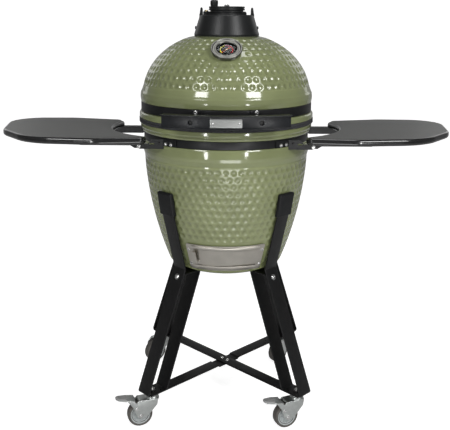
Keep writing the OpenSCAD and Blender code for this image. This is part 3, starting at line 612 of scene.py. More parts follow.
def pie(r0, r1, ac, half, n=12):
    o = [(r1 * math.cos(math.radians(ac - half + 2 * half * i / n)), r1 * math.sin(math.radians(ac - half + 2 * half * i / n))) for i in range(n + 1)]
    w = half * 1.0
    q = [(r0 * math.cos(math.radians(ac + w - 2 * w * i / 4)), r0 * math.sin(math.radians(ac + w - 2 * w * i / 4))) for i in range(5)]
    return fillet(o + q, [1.6] + [0] * (n - 1) + [1.6, 1.2, 0, 0, 0, 1.2], 3)


def disc_with_lug(r):
    c = circle(r, 120, a0=180)
    lug = [(-slide * 1.0, 9.0), (-slide - 6, 7.0), (-slide - 9, 0), (-slide - 6, -7.0), (-slide, -9.0)]
    pts = [q for q in c if math.degrees(abs(math.atan2(q[1], -q[0]))) > 24]
    return fillet(pts + [(-52, -22), (-slide, -9.2), (-slide - 7.5, -5.5), (-slide - 9, 0), (-slide - 7.5, 5.5), (-slide, 9.2), (-52, 22)], [0] * len(pts) + [6, 3, 3, 3, 3, 3, 6], 3)


slide = 62.0
sl = [plate("s_low", [disc_with_lug(60)] + [pie(15, 40, 36 + 72 * i, 14) for i in range(5)], 7.6, CAST, T(0, 0, 1212.3), bevel=1.1, res=3),
      plate("s_mid", [circle(57.8, 120)] + [pie(15, 40, 36 + 72 * i, 14) for i in range(5)], 3.4, CAST, T(0, 0, 1217.4), bevel=1.3, res=3),
      plate("s_neck", [circle(50, 120)] + [pie(15, 40, 36 + 72 * i, 14) for i in range(5)], 4.0, CAST, T(0, 0, 1220.0), bevel=0.5),
      plate("s_lug", [circle(9.0, 40, -slide, 0)], 10.6, CAST, T(0, 0, 1213.7), bevel=1.2, res=3)]
done(join("vent_sliding_plate", sl), "vent_slide", "cast_black", "vent_slide_plate")
dw = [plate("d_low", [circle(54.5, 140)] + [pie(15, 40, 72 * i, 14) for i in range(5)], 4.4, CAST, T(0, 0, 1224.3), bevel=0.9, res=3),
      plate("d_mid", [circle(53.1, 140)] + [pie(15, 40, 72 * i, 14) for i in range(5)], 3.4, CAST, T(0, 0, 1227.8), bevel=0.4),
      plate("d_top", [circle(54.5, 140)] + [pie(15, 40, 72 * i, 14) for i in range(5)], 5.0, CAST, T(0, 0, 1231.5), bevel=1.7, res=4),
      revolve("d_boss", fillet([(3.6, 1232), (12.5, 1232), (11.5, 1234.05), (3.6, 1234.05)], [0, 0.3, 0.6, 0.1], 3), CAST, 48)]
done(join("vent_damper_disc", dw), "damper", "cast_black", "vent_damper_wheel")
cs = nut("csn", 8.0, 4.6, ZINC, T(0, 0, 1234.1)) + [revolve("cs_sh", [(0, 1209.2), (3.5, 1209.2), (3.5, 1236), (0, 1236)], ZINC, 24, closed=False)]
done(join("vent_center_bolt", cs), "vent_slide", "bolt_steel", "vent_center_screw")
ps = [revolve("ps", fillet([(0, 1200.5), (3, 1200.5), (3, 1219.1), (6.4, 1219.1), (6.2, 1221.4), (4.0, 1223.6), (1.9, 1223.8), (1.7, 1222.3), (0, 1222.3)], [0, 0, 0, 0.4, 1.0, 0.8, 0.3, 0.1, 0], 3, closed=False), BRASS, 32, closed=False, matrix=T(-slide, 0, 0))]
done(join("vent_pivot_bolt", ps), "lid", "bolt_steel", "vent_pivot_screw")
kn = fillet([(0, 1234.05), (10.2, 1234.05), (11.3, 1235.2), (11.4, 1250.6), (10.4, 1252.2), (7.4, 1252.2), (7.4, 1250.6), (0, 1250.6)], [0, 0.4, 0.8, 1.2, 0.6, 0.3, 0.3, 0], 4, closed=False)
kob = revolve("k_body", kn, CAST, 60, closed=False, matrix=T(-38, 0, 0))
kcap = revolve("k_cap", fillet([(0, 1250.4), (7.1, 1250.4), (7.1, 1253.0), (4.4, 1254), (0, 1254)], [0, 0, 0.8, 1.5, 0], 4, closed=False), ZINC, 40, closed=False, matrix=T(-38, 0, 0))
ribs = []
for i in range(24):
    a = math.radians(15 * i)
    ribs.append(plate("k_rib", [fillet([(-0.75, -0.5), (0.75, -0.5), (0.75, 0.55), (-0.75, 0.55)], 0.3, 2)], 9.0, CAST, T(-38 + 11.2 * math.cos(a), 11.2 * math.sin(a), 1244.3) @ R(15 * i - 90, "Z"), bevel=0.3, res=1))
done(join("vent_damper_knob", [kob, kcap] + ribs), "damper", "knob_metal", "vent_knob")

# ---------------------------------------------------------------- thermometer
THM = T(0, -180, 1109) @ R(36.5, "X")
bz = fillet([(38.5, -1.2), (41.2, -1.2), (43.2, 6.2), (44.7, 8.6), (44.6, 10.9), (43.0, 12.2), (40.6, 12.2), (38.4, 10.0), (34.2, 9.8), (33.0, 10.9), (30.4, 10.9), (28.0, 8.4), (28.0, 2.1), (6, 2.1), (6, 0.3), (38.5, 0.3)],
            [0.3, 0.6, 1.5, 1.0, 0.8, 0.9, 1.0, 1.4, 1.2, 0.8, 0.8, 0.8, 0.2, 0, 0, 0.2], 4)
done(revolve("thermometer_bezel_ring", bz, TURNED, 140, matrix=THM, angle=30), "lid", "brushed_stainless", "thermometer_bezel")
dl = [revolve("dial_disc", fillet([(1.6, 2.2), (27.5, 2.2), (27.5, 4.2), (1.6, 4.2)], [0, 0.2, 0.2, 0], 2), DIAL, 96, matrix=THM)]


def arc_band(r0, r1, a0, a1, n, m, z, t=0.16):
    o = [(r1 * math.cos(math.radians(a0 + (a1 - a0) * i / n)), r1 * math.sin(math.radians(a0 + (a1 - a0) * i / n))) for i in range(n + 1)]
    q = [(r0 * math.cos(math.radians(a1 - (a1 - a0) * i / n)), r0 * math.sin(math.radians(a1 - (a1 - a0) * i / n))) for i in range(n + 1)]
    return plate("arcb", [o + q], t, m, THM @ T(0, 0, z), bevel=0.03, res=1)


dl.append(arc_band(16.4, 19.2, 106, 226, 30, YEL, 4.28))
dl.append(arc_band(16.4, 19.2, 66, 106, 14, PNK, 4.28))
dl.append(arc_band(16.4, 19.2, -46, 66, 28, RED, 4.28))
for i in range(41):
    a = 225 - 270 * i / 40
    long_ = i % 5 == 0
    dl.append(plate("tick", [[(20.4, -0.17 if not long_ else -0.28), (23.4 if long_ else 21.9, -0.17 if not long_ else -0.28), (23.4 if long_ else 21.9, 0.17 if not long_ else 0.28), (20.4, 0.17 if not long_ else 0.28)]], 0.14, WHT, THM @ R(a, "Z") @ T(0, 0, 4.27), bevel=0.03, res=1))
for i in range(9):
    a = math.radians(225 - 270 * i / 8)
    fc = bpy.data.curves.new("num", "FONT"); fc.body = str(50 * i); fc.size = 3.0 * MM; fc.align_x = "CENTER"; fc.align_y = "CENTER"; fc.extrude = 0.05 * MM
    fo = bpy.data.objects.new("num", fc); bpy.context.scene.collection.objects.link(fo)
    fo.matrix_world = THM @ T(12.6 * math.cos(a), 12.6 * math.sin(a), 4.27)
    bpy.context.view_layer.update()
    me = bpy.data.meshes.new_from_object(fo.evaluated_get(bpy.context.evaluated_depsgraph_get()))
    me.materials.clear(); me.materials.append(WHT)
    no = bpy.data.objects.new("numm", me); bpy.context.scene.collection.objects.link(no); no.matrix_world = fo.matrix_world.copy()
    bpy.data.objects.remove(fo); dl.append(no)
done(join("thermometer_dial_face", dl), "lid", "dial_face", "thermometer_dial")
nd = [plate("needle", [fillet([(-11, -1.5), (-11, 1.5), (0, 1.0), (18, 0.35), (18, -0.35), (0, -1.0)], 0.3, 2)], 0.8, NEEDLE, THM @ R(225, "Z") @ T(0, 0, 5.2), bevel=0.2, res=1),
      revolve("needle_hub", fillet([(0, 2.4), (1.5, 2.4), (1.5, 4.8), (2.7, 4.8), (2.6, 6.0), (0, 6.2)], [0, 0, 0, 0.2, 0.5, 0], 3, closed=False), BRASS, 24, closed=False, matrix=THM)]
done(join("thermometer_pointer", nd), "gauge_needle", "needle_red", "thermometer_needle")
done(revolve("thermometer_lens_disc", fillet([(0, 7.2), (27.9, 7.2), (27.9, 8.4), (0, 8.9)], [0, 0.2, 0.3, 0], 3, closed=False), GLASS, 96, closed=False, matrix=THM), "lid", "dial_glass", "thermometer_lens")

# ---------------------------------------------------------------- draft door
def rc(z):
    return 183.5 + (z - 466) / 3.0


def rivet_like(a, z, off, r=4.4):
    return button("ds", r, 2.6, ZINC, radialM(a, rc(z) + off, z) @ R(-18.4, "X"))


def framed(name):
    o = curved_plate("fr_plate", rc, 0.0, 2.0, -33.4, 33.4, 467, 549, 7.0, 0.6, BRUSH, 90, nz=10)
    cut_ = curved_plate("fr_cut", rc, -8.0, 12.0, -24, 3, 485, 531, 1.0, 0.01, BRUSH, 40, nz=2)
    boolean(o, cut_)
    rails = []
    for z0, z1, flip in ((533.5, 545.5, 1), (470.5, 482.5, -1)):
        out_z, in_z = (z1, z0) if flip > 0 else (z0, z1)
        prof = [(rc(out_z) + 1.4, out_z), (rc(out_z) + 5.4, out_z), (rc((z0 + z1) / 2) + 7.0, (z0 + z1) / 2), (rc(in_z) + 6.2, in_z), (rc(in_z) + 4.5, in_z), (rc((z0 + z1) / 2) + 4.6, out_z - flip * 7.0), (rc(out_z) + 1.4, out_z - flip * 7.0)]
        rails.append(revolve("fr_rail", fillet(prof, [0.8, 2.2, 3.2, 0.7, 0.6, 0.8, 0.3], 4), BRUSH, 56, matrix=None, a0=-118, a1=-62))
    return join(name, [o] + rails)


done(framed("draft_frame_plate"), "grill_base", "brushed_stainless", "draft_frame")
dd = [curved_plate("dd_plate", rc, 2.4, 3.9, -27, 6.5, 479.5, 536.5, 0.8, 0.4, BRUSH, 60, nz=8)]
dd.append(curved_plate("dd_pull", rc, 3.6, 15.5, -27, -25.9, 488, 528, 0.6, 0.5, BRUSH, 6, nz=6))
dd.append(curved_plate("dd_pull2", rc, 13.6, 15.6, -27, -23.6, 488, 528, 1.5, 0.6, BRUSH, 8, nz=6))
for z in (497, 519):
    dd.append(revolve("dd_spot", fillet([(0, -0.2), (2.6, -0.2), (2.3, 0.7), (0, 0.8)], [0, 0.2, 0.3, 0], 2, closed=False), BRUSH, 20, closed=False, matrix=radialM(-23.4, rc(z) + 3.9, z) @ R(-18.4, "X")))
done(join("draft_sliding_door", dd), "ash_door", "brushed_stainless", "draft_door")
sc = []
for a in (-31.5, 31.5):
    for z in (484, 530):
        sc += rivet_like(a, z, 2.0)
done(join("draft_frame_screws", sc), "grill_base", "bolt_steel", "draft_screws")

# ---------------------------------------------------------------- shelves
ARCS = [(600, 110, 102), (560, 0, 125), (480, -40, 165), (370, -119, 100), (249, -183, 20), (365, 155, 22), (520, 115, 100)]
CX, CY, CR = 120.0, 36.0, 232.0


def shelf_outline():
    pts = []
    for i in range(720):
        a = math.radians(i / 2)
        c = max(ARCS, key=lambda q: q[0] * math.cos(a) + q[1] * math.sin(a) + q[2])
        pts.append((c[0] + c[2] * math.cos(a), c[1] + c[2] * math.sin(a)))
    dense = []
    for i, p in enumerate(pts):
        q = pts[(i + 1) % len(pts)]
        d = math.hypot(q[0] - p[0], q[1] - p[1])
        n = max(1, int(d / 6))
        for j in range(n):
            dense.append((p[0] + (q[0] - p[0]) * j / n, p[1] + (q[1] - p[1]) * j / n))
    keep = [math.hypot(p[0] - CX, p[1] - CY) > CR for p in dense]
    n = len(dense)
    st = [i for i in range(n) if keep[i] and not keep[i - 1]][0]
    loop = []
    for i in range(n):
        k = (st + i) % n
        if not keep[k]:
            break
        loop.append(dense[k])
    a0 = math.atan2(loop[-1][1] - CY, loop[-1][0] - CX); a1 = math.atan2(loop[0][1] - CY, loop[0][0] - CX)
    m = int(abs(a1 - a0) * CR / 6)
    # the straight-ish run near each corner is thinned so that the corner can be rounded
    arc = [(CX + CR * math.cos(a0 + (a1 - a0) * j / m), CY + CR * math.sin(a0 + (a1 - a0) * j / m)) for j in range(m + 1)]
    thin = loop[3:-3]
    inner_ = arc[3:-3]
    res = fillet([loop[0]] + thin + [arc[0]] + inner_, [12] + [0] * len(thin) + [12] + [0] * len(inner_), 7)
    out = [res[0]]
    for p in res[1:]:
        if math.hypot(p[0] - out[-1][0], p[1] - out[-1][1]) > 0.8:
            out.append(p)
    return out


for side, s in (("right", 1), ("left", -1)):
    o = plate(side + "_shelf_board", [shelf_outline()], 20.0, [EDGE, SHELF_TOP_SHEEN], T(0, 0, 855), bevel=7.5, res=7, angle=60)
    o.data.transform(o.matrix_world); o.matrix_world = Matrix.Identity(4)
    if s < 0:
        o.data.transform(Matrix.Scale(-1, 4, Vector((1, 0, 0)))); o.data.flip_normals()
    # flat top and bottom faces get the lighter shelf top material (painted sheen); the edges keep the black gloss
    for p in o.data.polygons:
        if abs(p.normal.z) > 0.985:
            p.material_index = 1
    done(o, side + "_folding_shelf", "shelf_black", side + "_shelf")

# ---------------------------------------------------------------- stand
def strip_outline(path, t, r=7.0):
    n = [Vector(p) for p in fillet(path, [0] + [r] * (len(path) - 2) + [0], 5, closed=False)]
    L_, R_ = [], []
    for i, p in enumerate(n):
        a = (n[i] - n[i - 1]).normalized() if i else (n[1] - n[0]).normalized()
        b = (n[i + 1] - n[i]).normalized() if i < len(n) - 1 else a
        na, nb = Vector((-a.y, a.x)), Vector((-b.y, b.x))
        m_ = (na + nb) / (1 + na.dot(nb))
        L_.append(tuple(p + m_ * t / 2)); R_.append(tuple(p - m_ * t / 2))
    return L_ + R_[::-1]


def plane_dz(az):
    """plate xy -> (d, z) in the diagonal plane at angle az; thickness runs along the tangent."""
    return R(az, "Z") @ R(90, "X")


FOOT = 101.6
LEG = [(249.5, 697), (237, 632), (192, 459), (339, FOOT), (268, FOOT), (131, 442.9), (193.2, 442.9), (205.8, 412)]
legs, pads, bolts = [], [], []
for az in (-45, -135, 45, 135):
    lg = plate("leg", [strip_outline(LEG, 4.0, 6.0)], 50.0, STAND, plane_dz(az), bevel=0.9, res=2)
    cutters = [revolve("c", [(0, 90), (3.2, 90), (3.2, 110), (0, 110)], STAND, 20, closed=False, matrix=R(az, "Z") @ T(306 - 20, t, 0)) for t in (-15, 15)]
    cutters.append(revolve("c", [(0, 90), (3.2, 90), (3.2, 110), (0, 110)], STAND, 20, closed=False, matrix=R(az, "Z") @ T(327, 0, 0)))
    lg = join("leg", [lg]); legs.append(boolean(lg, join("cc", cutters)))
    r0, r1 = bowl_r(632), bowl_r(700)
    pad = fillet([(r0 + 1.2, 631.5), (r1 + 1.2, 700.5), (r1 + 15.2, 701), (r0 + 15.2, 631)], [2, 3, 6, 2.5], 5)
    pads.append(plate("pad", [pad], 60.0, RUBBER, plane_dz(az), bevel=4.5, res=5, angle=60))
    M = R(az, "Z") @ T(202.7, 0, 433) @ R(67.7, "Y")
    bolts += button("lb", 6.5, 4.4, ZINC, M @ T(0, 0, 2.05), washer=8.6)
    bolts += nut("lbn", 5.6, 4.0, ZINC, M @ T(0, 0, -6.0) @ R(180, "X"))
done(join("stand_strip_legs", legs), "grill_base", "stand_steel", "stand_legs")
done(join("stand_rubber_pads", pads), "grill_base", "pad_rubber", "leg_pads")
done(join("stand_leg_bolts", bolts), "grill_base", "bolt_steel", "leg_bolts")


def bar(name, az, outline_dz, holes):
    o = plate(name, [outline_dz], 40.0, STAND, plane_dz(az), bevel=0.9, res=2)
    o = join(name, [o])
    c = join("bc", [revolve("c", [(0, 80), (r, 80), (r, 115), (0, 115)], STAND, 24, closed=False, matrix=R(az, "Z") @ T(x, y, 0)) for x, y, r in holes])
    return boolean(o, c)


bu = bar("brace_straight", -45, fillet([(-326, 95.5), (326, 95.5), (326, 99.5), (-326, 99.5)], 0.8, 2), [(-200, 0, 3.0), (200, 0, 3.0), (306, 0, 6.3), (-306, 0, 6.3)])
done(bu, "grill_base", "stand_steel", "brace_upper")
jog = [(-326, 95.5), (-46, 95.5), (-42, 91.3), (42, 91.3), (46, 95.5), (326, 95.5), (326, 99.5), (44.3, 99.5), (40.3, 95.3), (-40.3, 95.3), (-44.3, 99.5), (-326, 99.5)]
bl = bar("brace_with_joggle", 45, fillet(jog, [0.8, 6, 6, 6, 6, 0.8, 0.8, 3, 3, 3, 3, 0.8], 4), [(-200, 0, 3.0), (200, 0, 3.0), (306, 0, 6.3), (-306, 0, 6.3)])
done(bl, "grill_base", "stand_steel", "brace_lower")
bs = []
for x in (-12.5, 12.5):
    M = R(-45, "Z") @ T(x, 0, 0)
    bs += button("bsb", 6.0, 3.4, ZINC, M @ T(0, 0, 99.5))
    bs += nut("bsn", 6.2, 4.8, ZINC, M @ T(0, 0, 91.2) @ R(180, "X"))
done(join("brace_center_screws", bs), "grill_base", "bolt_steel", "brace_screws")

# ---------------------------------------------------------------- casters
D = 306 * math.sqrt(0.5)
CORN = {"front_left": (-1, -1, 197), "front_right": (1, -1, 203), "rear_left": (-1, 1, 218), "rear_right": (1, 1, 222)}
stems = []
for az in (-45, -135, 45, 135):
    M = R(az, "Z") @ T(306, 0, 0)
    stems.append(revolve("st_race", fillet([(0, 95.4), (17.5, 95.4), (18.6, 93.4), (17.0, 90.9), (0, 90.9)], [0, 0.8, 1.2, 1.0, 0], 4, closed=False), ZINC, 48, closed=False, matrix=M))
    stems.append(revolve("st_pin", fillet([(0, 77), (7.6, 77), (8, 79.6), (5, 80), (5, 92), (0, 92)], [0, 0.8, 0.3, 0, 0, 0], 3, closed=False), ZINC, 32, closed=False, matrix=M))
    stems += nut("st_nut", 10.0, 6.2, ZINC, M @ T(0, 0, 103.65))
    stems.append(revolve("st_tip", fillet([(0, 100), (5.0, 100), (5.0, 112.4), (4.2, 113), (0, 113)], [0, 0, 0.3, 0.4, 0], 2, closed=False), ZINC, 28, closed=False, matrix=M))
done(join("caster_stems_and_nuts", stems), "grill_base", "caster_zinc", "caster_stems")
for cn, (sx, sy, t) in CORN.items():
    M = T(sx * D, sy * D, 0) @ R(t, "Z")
    W = M @ T(38, 0, 37.5) @ R(90, "X")
    core = revolve("w_core", fillet([(4.05, -13.6), (9.5, -13.6), (10, -9), (22, -7.6), (26, -10.8), (29.5, -11.8), (29.5, 11.8), (26, 10.8), (22, 7.6), (10, 9), (9.5, 13.6), (4.05, 13.6)],
                                    [0.2, 0.8, 2, 2, 1.0, 0.5, 0.5, 1.0, 2, 2, 0.8, 0.2], 4), CORE, 96, matrix=W)
    tread = revolve("w_tread", fillet([(29.3, -12.0), (33.8, -12.6), (36.6, -10.6), (37.4, -5), (37.4, 5), (36.6, 10.6), (33.8, 12.6), (29.3, 12.0)], [0.6, 2.5, 2.5, 6, 6, 2.5, 2.5, 0.6], 5), TREAD, 128, matrix=W)
    ribs = []
    for i in range(8):
        for sgn in (-1, 1):
            ribs.append(plate("w_rib", [fillet([(9.5, -1.1), (25, -1.1), (25, 1.1), (9.5, 1.1)], 0.3, 1)], 3.2, CORE, W @ R(45 * i, "Z") @ T(0, 0, sgn * 8.6), bevel=0.5, res=1))
    for sgn in (-1, 1):
        ribs.append(revolve("w_ring", fillet([(24.4, sgn * 7.0), (25.8, sgn * 7.0), (25.8, sgn * 10.9), (24.4, sgn * 10.9)], 0.2, 2), TREAD, 64, matrix=W))
    done(join(cn + "_caster_wheel", [core, tread] + ribs), cn + "_roller", "caster_wheel", cn + "_wheel")
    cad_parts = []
    side_o = fillet([(-15, 82), (-12, 66), (20, 30), (38, 26.5), (48.5, 33), (59, 62), (57, 70), (43, 84.6), (-13, 84.6)], [2, 8, 12, 10, 8, 6, 5, 3, 2], 5)
    holes = [circle(2.2, 20, 30, 66)]
    for sgn in (-1, 1):
        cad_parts.append(plate("f_side", [side_o], 2.5, ZINCF, M @ T(0, sgn * 17.25, 0) @ R(90, "X"), bevel=0.7, res=2))
        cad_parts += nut("f_nut", 7.0, 4.2, ZINC, M @ T(38, sgn * 18.5, 37.5) @ R(-90 * sgn, "X"))
        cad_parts.append(revolve("f_boss", fillet([(0, 15.0), (7.5, 15.0), (7.5, 16.2), (0, 16.2)], [0, 0.4, 0.2, 0], 2, closed=False), ZINCF, 32, closed=False, matrix=M @ T(38, 0, 37.5) @ R(-90 * sgn, "X")))
    top_o = fillet([(-17, -17), (2, -19.6), (40, -18.5), (44, 0), (40, 18.5), (2, 19.6), (-17, 17), (-21, 0)], [10, 8, 3, 12, 3, 8, 10, 12], 5)
    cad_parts.append(plate("f_top", [top_o, circle(5.05, 28)], 4.6, ZINCF, M @ T(0, 0, 82.5), bevel=1.4, res=3))
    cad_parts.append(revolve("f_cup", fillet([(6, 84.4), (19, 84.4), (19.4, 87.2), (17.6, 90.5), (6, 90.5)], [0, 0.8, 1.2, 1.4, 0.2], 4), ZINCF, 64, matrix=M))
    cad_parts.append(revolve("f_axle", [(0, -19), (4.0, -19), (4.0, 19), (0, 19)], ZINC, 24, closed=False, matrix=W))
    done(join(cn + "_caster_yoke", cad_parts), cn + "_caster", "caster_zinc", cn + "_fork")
    if sy < 0:
        pp = []
        for sgn in (-1, 1):
            arm_o = fillet([(44.5, 60), (47, 55), (53, 54), (56, 60), (74, 84), (76, 88.6), (58, 87), (50, 79)], [4, 3, 3, 4, 5, 1.5, 3, 6], 4)
            pp.append(plate("p_arm", [arm_o], 2.0, ZINCF, M @ T(0, sgn * 20, 0) @ R(90, "X"), bevel=0.6, res=2))
            pp.append(revolve("p_pin", fillet([(0, 15.9), (3.0, 15.9), (3.0, 21), (4.8, 21), (4.4, 22.4), (0, 22.6)], [0, 0.3, 0, 0.2, 0.6, 0], 3, closed=False), ZINC, 28, closed=False, matrix=M @ T(50, 0, 60) @ R(-90 * sgn, "X")))
        M2 = M @ T(54, 0, 85) @ R(-8.0, "Y")
        tray = fillet([(0, -20.8), (26, -20.8), (50, -15.5), (54, -9), (54, 9), (50, 15.5), (26, 20.8), (0, 20.8)], [1.5, 6, 5, 4, 4, 5, 6, 1.5], 4)
        pp.append(plate("p_plate", [tray], 2.6, ZINCF, M2 @ T(0, 0, 0.2), bevel=0.8, res=2))
        tip = fillet([(23, -15.5), (49, -12), (56.5, -7), (56.5, 7), (49, 12), (23, 15.5)], [3, 5, 4, 4, 5, 3], 5)
        pp.append(plate("p_tip", [tip], 5.6, PLAST, M2 @ T(0, 0, 0.9), bevel=1.8, res=4))
        for i in range(5):
            pp.append(plate("p_ridge", [fillet([(-0.9, -9.5), (0.9, -9.5), (0.9, 9.5), (-0.9, 9.5)], 0.5, 2)], 1.6, PLAST, M2 @ T(29 + 5 * i, 0, 4.0), bevel=0.5, res=2))
        done(join(cn + "_brake_pedal", pp), cn + "_brake", "pedal_plastic", cn + "_pedal")

# ---------------------------------------------------------------- rear hinge springs and cooking grate
def tube(name, pts, r, m, segs=10, closed=False):
    cu = bpy.data.curves.new(name, "CURVE"); cu.dimensions = "3D"; cu.bevel_depth = r * MM; cu.bevel_resolution = 3; cu.use_fill_caps = True
    s = cu.splines.new("POLY"); s.points.add(len(pts) - 1)
    s.points.foreach_set("co", [c for p in pts for c in (p[0] * MM, p[1] * MM, p[2] * MM, 1.0)])
    s.use_cyclic_u = closed
    t = bpy.data.objects.new(name, cu); bpy.context.scene.collection.objects.link(t)
    bpy.context.view_layer.update()
    me = bpy.data.meshes.new_from_object(t.evaluated_get(bpy.context.evaluated_depsgraph_get()))
    bpy.data.objects.remove(t)
    bm = bmesh.new(); bm.from_mesh(me); bmesh.ops.remove_doubles(bm, verts=bm.verts, dist=1e-6); bmesh.ops.recalc_face_normals(bm, faces=bm.faces); bm.to_mesh(me); bm.free()
    finish_mesh(me, 50); me.materials.clear(); me.materials.append(m)
    o = bpy.data.objects.new(name, me); bpy.context.scene.collection.objects.link(o)
    return o


sp = []
for x0 in (-52, 4):
    turns, n = 10, 320
    pts = [(x0 + 2.2 + 43.6 * i / n, 305 + 8.9 * math.cos(2 * math.pi * turns * i / n + 2.0), 897 + 8.9 * math.sin(2 * math.pi * turns * i / n + 2.0)) for i in range(n + 1)]
    sp.append(tube("spring", pts, 1.9, SPRING))
done(join("hinge_torsion_springs", sp), "grill_base", "spring_steel", "hinge_springs")
gr = [tube("g_rim", [(208 * math.cos(2 * math.pi * i / 160), 208 * math.sin(2 * math.pi * i / 160), 870.1) for i in range(160)], 4.0, ROD, closed=True)]
for i in range(-8, 9):
    h = math.sqrt(208 * 208 - i * i * 529)
    gr.append(tube("g_bar", [(i * 23, -h + 1, 870.1), (i * 23, 0, 870.1), (i * 23, h - 1, 870.1)], 3.0, ROD))
for s in (-1, 1):
    h = math.sqrt(208 * 208 - 4900)
    gr.append(tube("g_cross", [(-h + 1, s * 70, 868.4), (0, s * 70, 868.4), (h - 1, s * 70, 868.4)], 3.2, ROD))
done(join("cooking_grate_rods", gr), "cooking_grid", "grate_steel", "cooking_grate")

# fixed-bracket bolts and fold pins
bb_ = []
for s in (-1, 1):
    for a in (37.5, 42.3):
        bb_ += button("kb", 4.6, 3.4, ZINC, radialM(s * a, 256.0, 846), washer=5.6)
    for a in (128.5, 132.5):
        bb_ += button("kb", 4.6, 3.4, ZINC, radialM(s * a, 256.0, 850), washer=5.6)
done(join("shelf_bracket_button_bolts", bb_), "grill_base", "bolt_steel", "shelf_bracket_bolts")
pv = []
for s in (-1, 1):
    for y in (-186.5, 142.5):
        M = T(s * 250, y, 838) @ R(-90, "X")
        pv.append(revolve("pv", fillet([(0, 0), (4.2, 0), (6.3, 1.4), (6.3, 3.4), (4, 3.4), (4, 11.7), (6.0, 11.7), (6.3, 12.6), (5.4, 14.6), (0, 14.6)], [0, 1.5, 1, 0.2, 0, 0, 0.3, 0.5, 1, 0], 3, closed=False), ZINC, 32, closed=False, matrix=M))
done(join("shelf_fold_pins", pv), "grill_base", "bolt_steel", "shelf_pivot_pins")

# ---------------------------------------------------------------- carried CAD nodes
CARRY = {"handle_brackets": POWDER, "hinge_base_bracket": POWDER, "hinge_lid_bracket": POWDER, "hinge_pin": ZINC, "shelf_brackets": POWDER,
         "left_shelf_arms": POWDER, "right_shelf_arms": POWDER, "fire_bowl": BRICK, "fire_ring": BRICK, "charcoal_grate": IRON, "thermometer_probe": ZINC}
for n, m in CARRY.items():
    o = NODES[n]
    o.data.materials.clear(); o.data.materials.append(m)
    b = o.modifiers.new("round", "BEVEL"); b.width = (1.6 if m in (BRICK, IRON) else 0.5) * MM; b.segments = 2; b.limit_method = "ANGLE"; b.angle_limit = math.radians(50); b.use_clamp_overlap = True
    for p in o.data.polygons:
        p.use_smooth = True
    o.data.set_sharp_from_angle(angle=math.radians(35))

# ---------------------------------------------------------------- floor, light, camera
fm = bpy.data.materials.new("studio_floor"); fm.use_nodes = True
fp = principled(fm); fp.inputs["Roughness"].default_value = 0.7; fp.inputs["Specular IOR Level"].default_value = 0.2
tn = fm.node_tree.nodes.new("ShaderNodeTexNoise"); tn.inputs["Scale"].default_value = 3.0
cr_ = fm.node_tree.nodes.new("ShaderNodeMapRange"); cr_.inputs[3].default_value = 0.70; cr_.inputs[4].default_value = 0.74
fm.node_tree.links.new(tn.outputs[0], cr_.inputs[0]); fm.node_tree.links.new(cr_.outputs[0], fp.inputs["Base Color"])
fp.inputs["Emission Color"].default_value = (1, 1, 1, 1)
flp = fm.node_tree.nodes.new("ShaderNodeLightPath"); fmx = fm.node_tree.nodes.new("ShaderNodeMath"); fmx.operation = "MULTIPLY"; fmx.inputs[1].default_value = 0.80
fm.node_tree.links.new(flp.outputs["Is Camera Ray"], fmx.inputs[0]); fm.node_tree.links.new(fmx.outputs[0], fp.inputs["Emission Strength"])
V, F = [], []
prof = [(-7, 0), (2.6, 0)] + [(2.6 + 2.2 * math.sin(math.radians(a)), 2.2 - 2.2 * math.cos(math.radians(a))) for a in range(10, 91, 10)] + [(4.8, 6.0)]
for x in (-11, 11):
    V += [(x, y, z) for y, z in prof]
k = len(prof)
F = [(i, i + 1, k + i + 1, k + i) for i in range(k - 1)]
me = bpy.data.meshes.new("studio_floor"); me.from_pydata(V, [], F); me.materials.append(fm)
for p in me.polygons:
    p.use_smooth = True
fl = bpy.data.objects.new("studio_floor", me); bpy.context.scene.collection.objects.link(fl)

w = bpy.data.worlds.new("studio"); bpy.context.scene.world = w; w.use_nodes = True
wn, wl = w.node_tree.nodes, w.node_tree.links
bg = wn["Background"]
tcw = wn.new("ShaderNodeTexCoord"); sx_ = wn.new("ShaderNodeSeparateXYZ"); wl.new(tcw.outputs["Generated"], sx_.inputs[0])
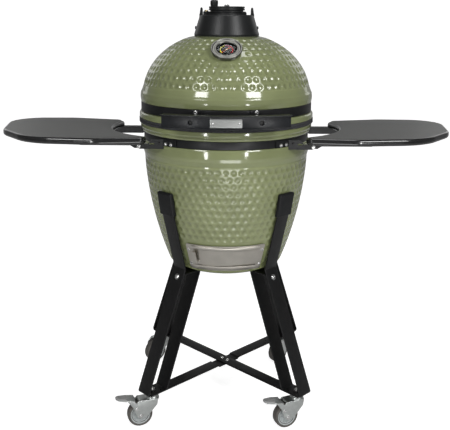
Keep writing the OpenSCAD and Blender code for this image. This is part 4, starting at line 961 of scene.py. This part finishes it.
rm = wn.new("ShaderNodeMapRange"); rm.inputs[1].default_value = -0.9; rm.inputs[2].default_value = 0.5; rm.inputs[3].default_value = 0.27; rm.inputs[4].default_value = 0.08
wl.new(sx_.outputs[1], rm.inputs[0])
lp = wn.new("ShaderNodeLightPath"); mx = wn.new("ShaderNodeMix"); mx.data_type = "FLOAT"
wl.new(lp.outputs["Is Camera Ray"], mx.inputs[0]); wl.new(rm.outputs[0], mx.inputs[2]); mx.inputs[3].default_value = 0.98
wl.new(mx.outputs[0], bg.inputs["Strength"])
bg.inputs["Color"].default_value = (1, 1, 1, 1)


def area(name, loc, target, size, power, sy=None):
    l = bpy.data.lights.new(name, "AREA"); l.energy = power; l.shape = "RECTANGLE"; l.size = size; l.size_y = sy or size
    o = bpy.data.objects.new(name, l); bpy.context.scene.collection.objects.link(o)
    o.location = loc
    o.rotation_euler = (Vector(target) - Vector(loc)).to_track_quat("-Z", "Y").to_euler()
    return o


area("key_right", (1.85, -2.35, 2.65), (0, 0, 0.95), 1.05, 50, 1.15)
area("key_left", (-1.65, -2.4, 2.6), (0, 0, 0.95), 0.85, 28, 0.85)
area("low_right", (1.35, -2.75, 0.62), (0, 0, 0.7), 0.22, 9, 0.6)
area("low_left", (-1.3, -2.75, 0.55), (0, 0, 0.7), 0.22, 7, 0.6)
area("floor_front", (0.2, -1.9, 0.04), (0, 0.0, 0.9), 0.9, 9, 0.7)
area("back_left", (-2.2, 2.9, 2.2), (0, 0, 0.8), 1.6, 6, 1.8)
area("back_right", (2.2, 2.9, 2.2), (0, 0, 0.8), 1.6, 6, 1.8)
area("top", (0.2, 0.3, 3.4), (0, 0, 0.9), 1.2, 16, 1.0)

cam = bpy.data.cameras.new("photo_view")
cam.lens = 59.03; cam.sensor_width = 36.0; cam.sensor_fit = "HORIZONTAL"; cam.shift_x = -0.0022; cam.shift_y = -0.1549; cam.clip_end = 100
co = bpy.data.objects.new("photo_view", cam); bpy.context.scene.collection.objects.link(co)
co.matrix_world = Matrix.Translation((0, -2.2597, 1.208)) @ R(80, "X") @ R(0.35, "Z")
bpy.context.scene.camera = co
bpy.context.scene.view_settings.view_transform = "Standard"
